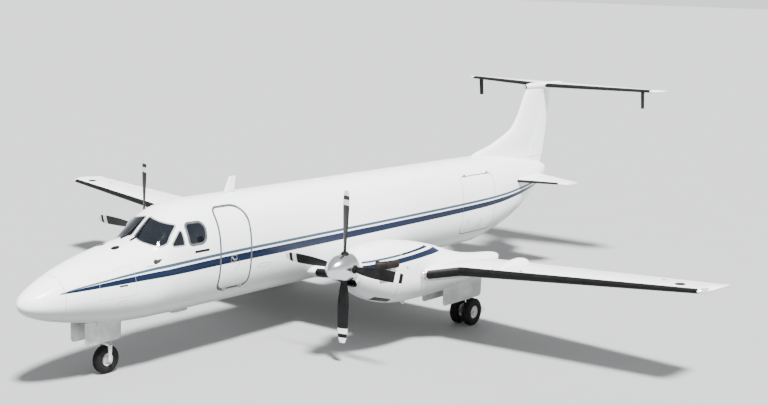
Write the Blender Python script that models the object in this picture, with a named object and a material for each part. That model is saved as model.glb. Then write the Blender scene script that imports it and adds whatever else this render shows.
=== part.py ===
"""Twin-turboprop T-tail commuter airliner, parked on its landing gear, in metres.

X runs aft from the nose, Y to starboard and Z up. The origin is on the ground, below the
middle of the length. Stations are distances aft of the nose tip, as on a loftsman's drawing.
"""

import bpy
import bmesh
from math import cos, sin, pi, radians, atan2, sqrt
from mathutils import Vector, Matrix

LENGTH = 17.63
GAP = 0.0003
RUNNING_GAP = 0.008
FLAP_END_GAP = 0.020

# Fuselage loft: station, half width, crown height, keel height, fullness of the section.
FUSELAGE = (
    (0.02, 0.07, 1.57, 1.43, 2.0),
    (0.08, 0.16, 1.64, 1.35, 2.0),
    (0.25, 0.285, 1.74, 1.25, 2.0),
    (0.62, 0.43, 1.91, 1.13, 2.05),
    (1.10, 0.55, 2.07, 1.03, 2.1),
    (1.60, 0.635, 2.19, 0.94, 2.15),
    (2.00, 0.68, 2.26, 0.90, 2.2),
    (2.35, 0.71, 2.31, 0.885, 2.25),
    (2.56, 0.722, 2.475, 0.88, 2.3),
    (2.77, 0.733, 2.64, 0.875, 2.3),
    (3.00, 0.742, 2.76, 0.87, 2.35),
    (3.30, 0.75, 2.83, 0.87, 2.35),
    (3.70, 0.75, 2.86, 0.87, 2.35),
    (12.60, 0.75, 2.86, 0.87, 2.35),
    (13.15, 0.74, 2.855, 0.96, 2.35),
    (13.80, 0.70, 2.82, 1.10, 2.3),
    (14.30, 0.64, 2.77, 1.25, 2.25),
    (14.80, 0.55, 2.70, 1.43, 2.2),
    (15.30, 0.445, 2.62, 1.65, 2.1),
    (15.80, 0.325, 2.54, 1.87, 2.05),
    (16.15, 0.215, 2.48, 2.05, 2.0),
    (16.32, 0.12, 2.44, 2.22, 2.0),
)
RADOME_JOINT = 0.62
NOSE_BAY_END = 2.10
FORWARD_JOINT = 3.70
TAIL_JOINT = 13.15
SKIN = 0.05
GLASS = 0.018
RING_POINTS = 24
NACELLE_POINTS = 20

FLOOR_TOP = 1.20
FLOOR_THICKNESS = 0.04

# Doors: first and last station, sill and head heights.
AIRSTAIR = (3.84, 4.60, 1.24, 2.71)
CARGO = (11.65, 12.97, 1.24, 2.56)
DOOR_GAP = 0.010
HINGE_OUT = 0.012
KNUCKLE = 0.008
PIN = 0.007
PIN_REACH = 0.040
PIN_PLAY = 0.001

# Nacelle loft: station, half width, top height, bottom height, fullness.
NACELLE_Y = 2.615
HUB_Z = 1.79
NACELLE = (
    (5.185, 0.27, 2.05, 1.40, 2.0),
    (5.32, 0.33, 2.10, 1.26, 2.1),
    (5.62, 0.385, 2.14, 1.11, 2.2),
    (6.00, 0.42, 2.14, 0.99, 2.3),
    (6.40, 0.43, 2.11, 0.92, 2.35),
    (6.70, 0.43, 2.06, 0.90, 2.35),
    (7.10, 0.425, 1.99, 0.89, 2.35),
    (7.60, 0.42, 1.87, 0.89, 2.35),
    (8.20, 0.40, 1.68, 0.91, 2.35),
    (8.80, 0.36, 1.53, 0.94, 2.3),
    (9.40, 0.29, 1.44, 1.01, 2.2),
    (9.90, 0.18, 1.39, 1.13, 2.0),
    (10.12, 0.07, 1.34, 1.24, 2.0),
)
FIREWALL = 6.70
COWL_SKIN = 0.03

PROP_PLANE = 5.04
HUB_RADIUS = 0.245
HUB_FRONT = 4.93
HUB_BACK = 5.165
SPINNER_TIP = 4.56
BLADE_COUNT = 4
SHAFT_RADIUS = 0.075

# Blade sections: distance from the shaft, chord, depth and pitch in degrees.
BLADE = (
    (0.10, 0.10, 0.08, 50),
    (0.26, 0.11, 0.07, 46),
    (0.45, 0.17, 0.045, 36),
    (0.75, 0.205, 0.028, 26),
    (1.05, 0.20, 0.018, 18),
    (1.28, 0.17, 0.012, 14),
    (1.39, 0.10, 0.008, 12),
)

# Exhaust stack centre line: station, distance out from the shaft line, height.
STACK_PATH = (
    (5.54, 0.252, 1.79),
    (5.55, 0.33, 1.80),
    (5.60, 0.40, 1.80),
    (5.70, 0.445, 1.80),
    (5.98, 0.475, 1.79),
)

# Wing plan, by half-span position: leading edge, trailing edge, height of the leading edge.
WING_PLAN = (
    (0.30, 6.40, 9.30, 1.14),
    (2.25, 6.40, 9.30, 1.34),
    (2.95, 6.72, 9.27, 1.42),
    (3.50, 7.37, 9.22, 1.50),
    (8.10, 7.77, 8.80, 1.83),
    (8.305, 8.33, 8.78, 1.845),
)
WING_DEPTH = ((0.30, 0.37), (2.95, 0.35), (3.50, 0.31), (8.10, 0.125), (8.305, 0.04))
WING_DROOP = 0.035
HINGE_LINE = ((0.30, 8.76), (2.95, 8.75), (8.10, 8.52))
FLAP_INNER = (0.83, 2.16)
FLAP_OUTER = (3.10, 5.40)
AILERON = (5.50, 7.95)

# Fairing on top of each outer wing: station, half width and height of its crown.
WING_FAIRING_Y = 4.30
WING_FAIRING = (
    (7.52, 0.02, 1.64),
    (7.66, 0.09, 1.70),
    (7.90, 0.14, 1.745),
    (8.20, 0.16, 1.76),
    (8.45, 0.12, 1.72),
    (8.59, 0.04, 1.64),
)
WING_FAIRING_FOOT = 1.56

# Blade antenna on the cabin roof: stations of its foot and of its tip, and its top.
ANTENNA_FOOT = (4.62, 4.90)
ANTENNA_TIP = (4.77, 4.95)
ANTENNA_TOP = 3.16

TAILPLANE_Z = 4.45
TAILPLANE_HALF = 2.815
TAIL_ROOT = (0.0, 16.13)
TAIL_TIP = (2.76, 16.98)
ELEVATOR_HINGE = 17.17
ELEVATOR_SPAN = (0.14, 2.70)
FIN_FOOT = 2.40
RUDDER_FOOT = (15.60, 2.66)
RUDDER_HEAD = (16.08, 4.29)

NOSE_GEAR = 1.80
MAIN_GEAR = 9.06
NOSE_TYRE = (0.25, 0.17)
MAIN_TYRE = (0.28, 0.165)
TWIN_HALF = 0.150


def clear_scene():
    for item in list(bpy.data.objects):
        bpy.data.objects.remove(item, do_unlink=True)


def place(station, y, z):
    """A point given by its station along the fuselage."""
    return Vector((station - LENGTH / 2, y, z))


def lerp_table(table, key, column):
    """The value of a column at a key, on straight runs between the rows."""
    if key <= table[0][0]:
        return table[0][column]
    for low, high in zip(table, table[1:]):
        if key <= high[0]:
            share = (key - low[0]) / (high[0] - low[0])
            return low[column] + share * (high[column] - low[column])
    return table[-1][column]


# Materials

def finish(name, color, roughness, metallic=0.0):
    material = bpy.data.materials.new(name)
    material.use_nodes = True
    shader = material.node_tree.nodes["Principled BSDF"]
    shader.inputs["Base Color"].default_value = (*color, 1.0)
    shader.inputs["Roughness"].default_value = roughness
    shader.inputs["Metallic"].default_value = metallic
    return material


def make_finishes():
    return {
        "paint": finish("white_paint", (0.86, 0.87, 0.87), 0.25),
        "glass": finish("cockpit_glass", (0.05, 0.07, 0.10), 0.05),
        "blade": finish("black_blade", (0.03, 0.03, 0.03), 0.4),
        "polished": finish("polished_metal", (0.75, 0.76, 0.78), 0.15, 1.0),
        "exhaust": finish("heated_steel", (0.28, 0.24, 0.21), 0.45, 0.9),
        "engine": finish("engine_grey", (0.35, 0.36, 0.37), 0.5, 0.8),
        "strut": finish("gear_enamel", (0.80, 0.81, 0.80), 0.35),
        "tyre": finish("tyre_rubber", (0.03, 0.03, 0.03), 0.8),
        "rim": finish("wheel_enamel", (0.78, 0.79, 0.80), 0.35),
        "cabin": finish("cabin_trim", (0.45, 0.46, 0.48), 0.7),
        "panel": finish("panel_black", (0.05, 0.05, 0.055), 0.6),
        "seat": finish("seat_fabric", (0.20, 0.22, 0.26), 0.9),
    }


# Solids

def new_object(name, bm, material, smooth_angle=35.0):
    """An object from a bmesh in world space; its normals are turned to face out."""
    bmesh.ops.recalc_face_normals(bm, faces=bm.faces)
    mesh = bpy.data.meshes.new(name)
    bm.to_mesh(mesh)
    bm.free()
    if mesh.polygons:
        mesh.shade_smooth()
        mesh.set_sharp_from_angle(angle=radians(smooth_angle))
    if material:
        mesh.materials.append(material)
    item = bpy.data.objects.new(name, mesh)
    bpy.context.scene.collection.objects.link(item)
    return item


def loft(name, rings, material, closed_chain=False):
    """A closed skin over rings of points; its ends are capped, or joined in a closed chain."""
    bm = bmesh.new()
    loops = [[bm.verts.new(point) for point in ring] for ring in rings]
    pairs = list(zip(loops, loops[1:]))
    if closed_chain:
        pairs.append((loops[-1], loops[0]))
    for first, second in pairs:
        count = len(first)
        for i in range(count):
            j = (i + 1) % count
            bm.faces.new((first[i], first[j], second[j]))
            bm.faces.new((first[i], second[j], second[i]))
    if not closed_chain:
        bm.faces.new(loops[0])
        bm.faces.new(loops[-1])
    return new_object(name, bm, material)


def set_origin(item, pivot):
    """Moves an object's origin to a point on its joint axis; the solid stays where it is."""
    item.data.transform(Matrix.Translation(-pivot))
    item.location = pivot
    return item


def as_tool(item):
    item.hide_render = True
    item.display_type = "WIRE"
    return item


def boolean(target, operation, tools):
    for tool in tools:
        as_tool(tool)
        modifier = target.modifiers.new(operation.lower(), "BOOLEAN")
        modifier.operation = operation
        modifier.object = tool
        modifier.solver = "EXACT"
    return target


def prism(name, outline, axis, low, high, material=None):
    """An outline in the plane across an axis, extruded along it between two values."""
    def corner(u, v, w):
        return {"X": (w, u, v), "Y": (u, w, v), "Z": (u, v, w)}[axis]
    rings = [[corner(u, v, w) for u, v in outline] for w in (low, high)]
    return loft(name, rings, material)


def block(name, low, high, material=None):
    outline = ((low[0], low[1]), (high[0], low[1]), (high[0], high[1]), (low[0], high[1]))
    return prism(name, outline, "Z", low[2], high[2], material)


def rounded(corners, radii, steps=3):
    """A closed outline with each corner turned into an arc of its own radius."""
    points = []
    count = len(corners)
    for i, radius in enumerate(radii):
        here = Vector(corners[i])
        before = (Vector(corners[i - 1]) - here).normalized()
        after = (Vector(corners[(i + 1) % count]) - here).normalized()
        half = before.angle(after) / 2
        reach = radius / abs(sin(half)) * abs(cos(half))
        centre = here + (before + after).normalized() * (radius / sin(half))
        start, end = here + before * reach - centre, here + after * reach - centre
        turn = atan2(start.x * end.y - start.y * end.x, start.dot(end))
        first = atan2(start.y, start.x)
        for k in range(steps + 1):
            angle = first + turn * k / steps
            points.append((centre.x + radius * cos(angle), centre.y + radius * sin(angle)))
    return points


def circle(centre, radius, axis, count=16):
    """Points on a circle about an axis through a centre."""
    axis = Vector(axis).normalized()
    across = axis.orthogonal().normalized()
    other = axis.cross(across)
    ring = []
    for k in range(count):
        angle = 2 * pi * k / count
        ring.append(Vector(centre) + radius * (cos(angle) * across + sin(angle) * other))
    return ring


def rod(name, start, end, radius, material=None, count=16):
    axis = Vector(end) - Vector(start)
    return loft(name, [circle(start, radius, axis, count), circle(end, radius, axis, count)], material)


def turned(name, profile, centre, material, count=24):
    """A solid turned about the Y direction; the profile is a closed list of (offset, radius)."""
    rings = []
    for offset, radius in profile:
        rings.append(circle(Vector(centre) + Vector((0, offset, 0)), radius, (0, 1, 0), count))
    return loft(name, rings, material, closed_chain=True)


def tube(name, path, radius, material=None, count=12, flatten=1.0):
    """A round or oval bar swept along a path of points."""
    rings = []
    for i, point in enumerate(path):
        ahead = Vector(path[min(i + 1, len(path) - 1)]) - Vector(path[max(i - 1, 0)])
        side = ahead.cross(Vector((0, 0, 1))).normalized()
        up = side.cross(ahead).normalized()
        ring = []
        for k in range(count):
            angle = 2 * pi * k / count
            ring.append(Vector(point) + radius * (flatten * cos(angle) * side + sin(angle) * up))
        rings.append(ring)
    return loft(name, rings, material)


# Fuselage

def row_ring(row, y_centre, inset, count):
    """The ring of one row of a loft table: a full ellipse-like section, drawn in by an inset."""
    station, half_width, top, bottom, fullness = row
    half_width, top, bottom = half_width - inset, top - inset, bottom + inset
    power = 2.0 / fullness
    middle, half_height = (top + bottom) / 2, (top - bottom) / 2
    ring = []
    for k in range(count):
        angle = 2 * pi * (k + 0.5) / count
        across = abs(cos(angle)) ** power * (1 if cos(angle) > 0 else -1)
        rise = abs(sin(angle)) ** power * (1 if sin(angle) > 0 else -1)
        ring.append(place(station, y_centre + half_width * across, middle + half_height * rise))
    return ring


def section_ring(table, station, y_centre=0.0, inset=0.0, count=RING_POINTS):
    """The ring at any station, on straight runs between the table's own rings."""
    for low, high in zip(table, table[1:]):
        if station <= high[0]:
            share = (station - low[0]) / (high[0] - low[0])
            pairs = zip(row_ring(low, y_centre, inset, count), row_ring(high, y_centre, inset, count))
            return [near.lerp(far, share) for near, far in pairs]
    return row_ring(table[-1], y_centre, inset, count)


def stations_between(table, first, last):
    inner = [row[0] for row in table if first + 0.01 < row[0] < last - 0.01]
    return [first] + inner + [last]


def body_rings(table, first, last, y_centre=0.0, inset=0.0, count=RING_POINTS):
    return [
        section_ring(table, station, y_centre, inset, count)
        for station in stations_between(table, first, last)
    ]


def half_width_at(station, z, inset=0.0):
    """How far out the fuselage skin is at a height."""
    ring = section_ring(FUSELAGE, station, inset=inset)
    for a, b in zip(ring, ring[1:] + ring[:1]):
        if min(a.y, b.y) > 0 and min(a.z, b.z) <= z < max(a.z, b.z):
            return a.y + (b.y - a.y) * (z - a.z) / (b.z - a.z)
    return 0.0


def make_radome(finishes):
    rings = body_rings(FUSELAGE, FUSELAGE[0][0], RADOME_JOINT - GAP)
    tip = [place(0.0, 0.3 * (p.y), 1.50 + 0.3 * (p.z - 1.50)) for p in rings[0]]
    return loft("radome", [tip] + rings, finishes["paint"])


def windshield_outline(side, grow=0.0):
    """One windshield pane seen from the front, as (y, z)."""
    inner, outer_low, outer_high = 0.035 - grow, 0.62 + grow, 0.52 + grow
    corners = (
        (side * inner, 2.335 - grow),
        (side * outer_low, 2.185 - grow),
        (side * outer_high, 2.53 + grow),
        (side * inner, 2.635 + grow),
    )
    return rounded(corners, (0.03, 0.05, 0.06, 0.03))


def quarter_window_outline(grow=0.0):
    """The triangular window behind the windshield, seen from the side as (station, z)."""
    corners = (
        (2.70 - 1.6 * grow, 2.19 - grow),
        (2.975 + grow, 2.19 - grow),
        (2.975 + grow, 2.47 + 1.6 * grow),
    )
    return rounded(corners, (0.03, 0.025, 0.03))


def cockpit_window_outline(grow=0.0):
    corners = (
        (3.10 - grow, 2.185 - grow),
        (3.47 + grow, 2.185 - grow),
        (3.50 + grow, 2.53 + grow),
        (3.09 - grow, 2.53 + grow),
    )
    return rounded(corners, (0.06, 0.13, 0.13, 0.07))


def side_prism(name, outline, side):
    """A cutter through one side of the fuselage only."""
    points = [(station - LENGTH / 2, z) for station, z in outline]
    return prism(name, points, "Y", side * 0.15, side * 1.2)


def front_prism(name, outline):
    return prism(name, outline, "X", place(2.12, 0, 0).x, place(3.35, 0, 0).x)


def window_tools(prefix, grow):
    tools = []
    for side, word in ((-1, "port"), (1, "starboard")):
        tools.append(front_prism(f"{prefix}_windshield_{word}", windshield_outline(side, grow)))
        tools.append(side_prism(f"{prefix}_quarter_{word}", quarter_window_outline(grow), side))
        tools.append(side_prism(f"{prefix}_window_{word}", cockpit_window_outline(grow), side))
    return tools


def make_forward_fuselage(finishes):
    outer = body_rings(FUSELAGE, RADOME_JOINT + GAP, FORWARD_JOINT - GAP)
    inner = body_rings(FUSELAGE, NOSE_BAY_END, FORWARD_JOINT - GAP, inset=SKIN)
    shell = loft("forward_fuselage", outer + inner[::-1], finishes["paint"])
    well = block("nose_gear_well", place(1.18, -0.17, 0.60), place(2.00, 0.17, 1.30))
    boolean(shell, "DIFFERENCE", [well] + window_tools("opening", 0.0))
    doors = []
    for side in (-1, 1):
        top = place(1.20, side * 0.178, 1.02)
        bottom = place(1.98, side * 0.190, 0.62)
        doors.append(block(f"nose_gear_door_{side}", Vector((top.x, min(top.y, bottom.y), bottom.z)),
                           Vector((bottom.x, max(top.y, bottom.y), top.z))))
    return boolean(shell, "UNION", doors)


def make_panes(finishes):
    """Each pane is the outer skin's own surface, a glass thickness deep, inside its opening."""
    shapes = {}
    for side, word in ((-1, "port"), (1, "starboard")):
        shapes[f"windshield_{word}"] = front_prism(f"cut_ws_{word}", windshield_outline(side, -GAP))
        shapes[f"quarter_window_{word}"] = side_prism(f"cut_qw_{word}", quarter_window_outline(-GAP), side)
        shapes[f"cockpit_window_{word}"] = side_prism(f"cut_cw_{word}", cockpit_window_outline(-GAP), side)
    for name, cutter in shapes.items():
        outer = body_rings(FUSELAGE, 2.00, 3.65, inset=0.004)
        inner = body_rings(FUSELAGE, 2.00, 3.65, inset=0.004 + GLASS)
        pane = loft(name, outer + inner[::-1], finishes["glass"], closed_chain=True)
        boolean(pane, "INTERSECT", [cutter])


def door_outline(door, radii, gap=0.0):
    first, last, sill, head = door
    corners = (
        (first + gap, sill + gap),
        (last - gap, sill + gap),
        (last - gap, head - 1.4 * gap),
        (first + gap, head - 1.4 * gap),
    )
    return rounded(corners, radii, steps=4)


AIRSTAIR_CORNERS = (0.12, 0.12, 0.30, 0.12)
AIRSTAIR_SWING = 128
CARGO_CORNERS = (0.12, 0.12, 0.12, 0.12)


def make_cabin(finishes):
    first, last = FORWARD_JOINT + GAP, TAIL_JOINT - GAP
    outer = body_rings(FUSELAGE, first, last)
    inner = body_rings(FUSELAGE, first, last, inset=SKIN)
    shell = loft("cabin_fuselage", outer + inner[::-1], finishes["paint"], closed_chain=True)
    openings = [
        side_prism("airstair_opening", door_outline(AIRSTAIR, AIRSTAIR_CORNERS), -1),
        side_prism("cargo_opening", door_outline(CARGO, CARGO_CORNERS), -1),
    ]
    boolean(shell, "DIFFERENCE", openings)
    boolean(shell, "UNION", knuckles("airstair_sill", airstair_hinge(), -1, (-0.25, 0.20), 0.05))
    boolean(shell, "UNION", knuckles("cargo_header", cargo_hinge(), 1, (-0.50, 0.45), 0.05))
    boolean(shell, "UNION", [roof_antenna()])


def roof_antenna():
    """A swept blade that stands on the roof: thin, and a little thinner at its tip."""
    rings = []
    for (first, last), z, half in ((ANTENNA_FOOT, 2.83, 0.016), (ANTENNA_TIP, ANTENNA_TOP, 0.009)):
        corners = ((first, 0.0), ((first + last) / 2, half), (last, 0.0), ((first + last) / 2, -half))
        rings.append([place(station, y, z) for station, y in corners])
    return loft("roof_antenna", rings, None)


def door_skin(name, door, radii, finishes):
    """A piece of the cabin's own wall, a running gap smaller than its opening."""
    first, last = door[0] - 0.2, door[1] + 0.2
    outer = body_rings(FUSELAGE, first, last)
    inner = body_rings(FUSELAGE, first, last, inset=SKIN)
    skin = loft(name, outer + inner[::-1], finishes["paint"], closed_chain=True)
    boolean(skin, "INTERSECT", [side_prism(f"cut_{name}", door_outline(door, radii, DOOR_GAP), -1)])
    return skin


def airstair_hinge():
    sill = AIRSTAIR[2]
    return place((AIRSTAIR[0] + AIRSTAIR[1]) / 2, -half_width_at(4.2, sill) - HINGE_OUT, sill - 0.002)


def cargo_hinge():
    head = CARGO[3]
    return place((CARGO[0] + CARGO[1]) / 2, -half_width_at(12.3, head) - HINGE_OUT, head + 0.002)


def knuckles(name, pivot, up, starts, length):
    """Hinge barrels on a line along X, each with a bent leaf that runs up or down onto its skin."""
    shapes = []
    for k, start in enumerate(starts):
        front, back = pivot.x + start, pivot.x + start + length
        ends = [(x, pivot.y, pivot.z) for x in (front, back)]
        shapes.append(rod(f"{name}_barrel_{k}", *ends, KNUCKLE, None, 12))
        near, far = sorted((pivot.z, pivot.z + up * 0.040))
        shapes.append(block(f"{name}_leaf_{k}", (front, pivot.y - 0.006, near), (back, pivot.y + 0.005, far)))
        near, far = sorted((pivot.z + up * 0.020, pivot.z + up * 0.040))
        shapes.append(block(f"{name}_foot_{k}", (front, pivot.y - 0.006, near), (back, pivot.y + 0.040, far)))
    return shapes


def make_doors(finishes):
    """The airstair's treads are level when the door has swung out and down."""
    door = door_skin("airstair_door", AIRSTAIR, AIRSTAIR_CORNERS, finishes)
    steps = []
    along = Vector((-cos(radians(AIRSTAIR_SWING)), sin(radians(AIRSTAIR_SWING))))
    across = Vector((-along.y, along.x))
    for k in range(4):
        foot = Vector((-half_width_at(4.2, 1.42 + 0.29 * k, SKIN) - 0.02, 1.42 + 0.29 * k))
        corners = (foot, foot + 0.22 * along, foot + 0.22 * along + 0.03 * across, foot + 0.03 * across)
        front, back = place(AIRSTAIR[0] + 0.07, 0, 0).x, place(AIRSTAIR[1] - 0.07, 0, 0).x
        steps.append(prism(f"step_{k}", corners, "X", front, back))
    boolean(door, "UNION", steps + knuckles("airstair_foot", airstair_hinge(), 1, (-0.1995, 0.1495), 0.05))
    set_origin(door, airstair_hinge())
    hatch = door_skin("cargo_door", CARGO, CARGO_CORNERS, finishes)
    boolean(hatch, "UNION", knuckles("cargo_head", cargo_hinge(), -1, (-0.4495, 0.3995), 0.05))
    set_origin(hatch, cargo_hinge())


def make_tail_cone(finishes):
    last = FUSELAGE[-1][0]
    outer = body_rings(FUSELAGE, TAIL_JOINT + GAP, last)
    inner = body_rings(FUSELAGE, TAIL_JOINT + GAP, 15.3, inset=0.04)
    cone = loft("tail_cone", inner[::-1] + outer, finishes["paint"])
    strakes = []
    for side in (-1, 1):
        rings = []
        for y, lead, trail, z, depth in ((0.30, 13.72, 15.62, 2.27, 0.12), (1.50, 15.08, 15.60, 2.16, 0.045)):
            rings.append(section_profile(lead, trail, side * y, z, depth, 7))
        strakes.append(loft(f"stabilon_{side}", rings, None))
    return boolean(cone, "UNION", strakes)


# Aerofoil surfaces

def thickness_at(share):
    """Half thickness of a symmetric aerofoil, for a full depth of 1, at a share of its chord."""
    return 2.5 * (
        0.5938 * sqrt(share) - 0.2520 * share - 0.7032 * share**2 + 0.5686 * share**3 - 0.2072 * share**4
    )


def section_profile(lead, trail, y, z, depth, count=9, droop=0.0):
    """A closed aerofoil section at one spanwise place; droop lowers the trailing edge."""
    shares = [0.5 * (1 - cos(pi * k / count)) for k in range(count + 1)]
    chord = trail - lead

    def point(share, sign):
        rise = depth * thickness_at(share) + 0.003 * share
        return place(lead + chord * share, y, z - droop * share * chord + sign * rise)

    upper = [point(share, 1) for share in shares[1:]]
    lower = [point(share, -1) for share in shares[1:]]
    return [point(0.0, 0)] + upper + lower[::-1]


def plan(y, column):
    return lerp_table(WING_PLAN, y, column)


def wing_profile(y, side):
    depth = lerp_table(WING_DEPTH, y, 1)
    return section_profile(plan(y, 1), plan(y, 2), side * y, plan(y, 3), depth, 9, WING_DROOP)


def wing_axis_point(y, side):
    """The point on the hinge line at one spanwise place, and the section's half depth there."""
    lead, trail = plan(y, 1), plan(y, 2)
    hinge = lerp_table(HINGE_LINE, y, 1)
    share = (hinge - lead) / (trail - lead)
    z = plan(y, 3) - WING_DROOP * share * (trail - lead)
    radius = lerp_table(WING_DEPTH, y, 1) * thickness_at(share) + 0.003 * share
    return place(hinge, side * y, z), radius


def cove_ring(centre, radius, trail, spread):
    """A round nose with straight sides running aft, in the plane along X and Z."""
    ring = []
    for k in range(7):
        angle = pi / 2 + pi * k / 6
        ring.append(centre + Vector((radius * cos(angle), 0, radius * sin(angle))))
    end = place(trail, centre.y, centre.z)
    return ring + [end + Vector((0, 0, -spread)), end + Vector((0, 0, spread))]


def hinge_pin(name, start, end, grow=0.0):
    """A rod on a hinge line that stands out of both ends of a surface."""
    reach = (end - start).normalized() * (PIN_REACH + grow)
    return rod(name, start - reach, end + reach, PIN + grow, None, 12)


def surface_cutters(name, span, side, end_gap=RUNNING_GAP):
    """The room round a hinged surface, and the holes for its pins. A flap that swings far about
    a hinge line that climbs outboard also drifts sideways, so it needs the wider gap."""
    rings = []
    for y in (span[0] - end_gap, span[1] + end_gap):
        centre, radius = wing_axis_point(y, side)
        rings.append(cove_ring(centre, radius + 0.004, plan(y, 2) + 0.5, 0.6))
    start, end = (wing_axis_point(y, side)[0] for y in span)
    return [loft(name, rings, None), hinge_pin(f"{name}_pin", start, end, PIN_PLAY)]


def hinged_surface(name, span, side, finishes):
    rings = []
    for y in span:
        centre, radius = wing_axis_point(y, side)
        ring = cove_ring(centre, radius - 0.004, plan(y, 2), 0.003)
        drop = WING_DROOP * (plan(y, 2) - (centre.x + LENGTH / 2))
        for point in ring[-2:]:
            point.z -= drop
        rings.append(ring)
    surface = loft(name, rings, finishes["paint"])
    start, end = (wing_axis_point(y, side)[0] for y in span)
    boolean(surface, "UNION", [hinge_pin(f"{name}_pin", start, end)])
    return set_origin(surface, (start + end) / 2)


def nacelle_envelope(name, side):
    rings = body_rings(NACELLE, NACELLE[0][0], NACELLE[-1][0], side * NACELLE_Y, -GAP, NACELLE_POINTS)
    return loft(name, rings, None)


def wing_fairing(name, side):
    """A long blister; its foot is sunk in the wing, and its sections are half ellipses."""
    rings = []
    for station, half_width, crown in WING_FAIRING:
        ring = []
        for k in range(9):
            across = half_width * cos(pi * k / 8)
            rise = (crown - WING_FAIRING_FOOT) * sin(pi * k / 8)
            ring.append(place(station, side * WING_FAIRING_Y + across, WING_FAIRING_FOOT + rise))
        rings.append(ring)
    return loft(name, rings, None)


def make_wings(finishes):
    for side, word in ((-1, "port"), (1, "starboard")):
        inner_rings = [wing_profile(y, side) for y in (0.35, 2.25, 2.62)]
        inner = loft(f"wing_inner_{word}", inner_rings, finishes["paint"])
        body = loft(f"wing_root_cut_{word}", body_rings(FUSELAGE, 5.9, 9.9, inset=-GAP), None)
        boolean(inner, "DIFFERENCE", [body, nacelle_envelope(f"inner_cut_{word}", side)]
                + surface_cutters(f"flap_inner_bay_{word}", FLAP_INNER, side, FLAP_END_GAP))
        outer_rings = [wing_profile(y, side) for y in (2.62, 2.95, 3.50, 5.80, 8.10, 8.305)]
        outer = loft(f"wing_outer_{word}", outer_rings, finishes["paint"])
        boolean(outer, "UNION", [wing_fairing(f"wing_fairing_{word}", side)])
        boolean(outer, "DIFFERENCE", [nacelle_envelope(f"outer_cut_{word}", side)]
                + surface_cutters(f"flap_outer_bay_{word}", FLAP_OUTER, side, FLAP_END_GAP)
                + surface_cutters(f"aileron_bay_{word}", AILERON, side))
        hinged_surface(f"flap_inner_{word}", FLAP_INNER, side, finishes)
        hinged_surface(f"flap_outer_{word}", FLAP_OUTER, side, finishes)
        hinged_surface(f"aileron_{word}", AILERON, side, finishes)


# Tail

def fin_profile(z, lead, trail, depth):
    """A horizontal section through the fin, at one height."""
    flat = section_profile(lead, trail, 0.0, 0.0, depth, 7)
    return [Vector((point.x, point.z, z)) for point in flat]


def rudder_axis(z):
    share = (z - RUDDER_FOOT[1]) / (RUDDER_HEAD[1] - RUDDER_FOOT[1])
    return RUDDER_FOOT[0] + share * (RUDDER_HEAD[0] - RUDDER_FOOT[0])


def rudder_ring(z, radius, trail, spread):
    centre = rudder_axis(z)
    ring = []
    for k in range(7):
        angle = pi / 2 + pi * k / 6
        ring.append(place(centre + radius * cos(angle), radius * sin(angle), z))
    return ring + [place(trail, -spread, z), place(trail, spread, z)]


def make_fin(finishes):
    sections = (
        (FIN_FOOT, 12.95, 16.25, 0.17),
        (2.86, 13.00, 16.33, 0.17),
        (3.10, 13.90, 16.38, 0.165),
        (3.47, 14.80, 16.45, 0.155),
        (4.385, 15.40, 16.60, 0.12),
    )
    fin = loft("fin", [fin_profile(*row) for row in sections], finishes["paint"])
    cone = loft("fin_root_cut", body_rings(FUSELAGE, 12.2, FUSELAGE[-1][0], inset=-GAP), None)
    foot, head = (place(s, 0.0, z) for s, z in (RUDDER_FOOT, RUDDER_HEAD))
    bay = loft("rudder_bay", [rudder_ring(RUDDER_FOOT[1] - RUNNING_GAP, 0.056, 17.4, 0.5),
                              rudder_ring(RUDDER_HEAD[1] + RUNNING_GAP, 0.048, 17.4, 0.5)], None)
    pin_room = hinge_pin("rudder_pin_room", foot, head, PIN_PLAY)
    boolean(fin, "DIFFERENCE", [cone, bay, pin_room, bullet_fairing("fin_head_cut", GAP)])
    rudder = loft("rudder", [rudder_ring(RUDDER_FOOT[1], 0.048, 16.34, 0.004),
                             rudder_ring(RUDDER_HEAD[1], 0.040, 16.58, 0.004)], finishes["paint"])
    boolean(rudder, "UNION", [hinge_pin("rudder_pin", foot, head)])
    set_origin(rudder, foot)


def tail_lead(y):
    share = (y - TAIL_ROOT[0]) / (TAIL_TIP[0] - TAIL_ROOT[0])
    return TAIL_ROOT[1] + share * (TAIL_TIP[1] - TAIL_ROOT[1])


def elevator_ring(y, radius, trail, spread):
    return cove_ring(place(ELEVATOR_HINGE, y, TAILPLANE_Z), radius, trail, spread)


def elevator_axis(side):
    return [place(ELEVATOR_HINGE, side * y, TAILPLANE_Z) for y in ELEVATOR_SPAN]


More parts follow.
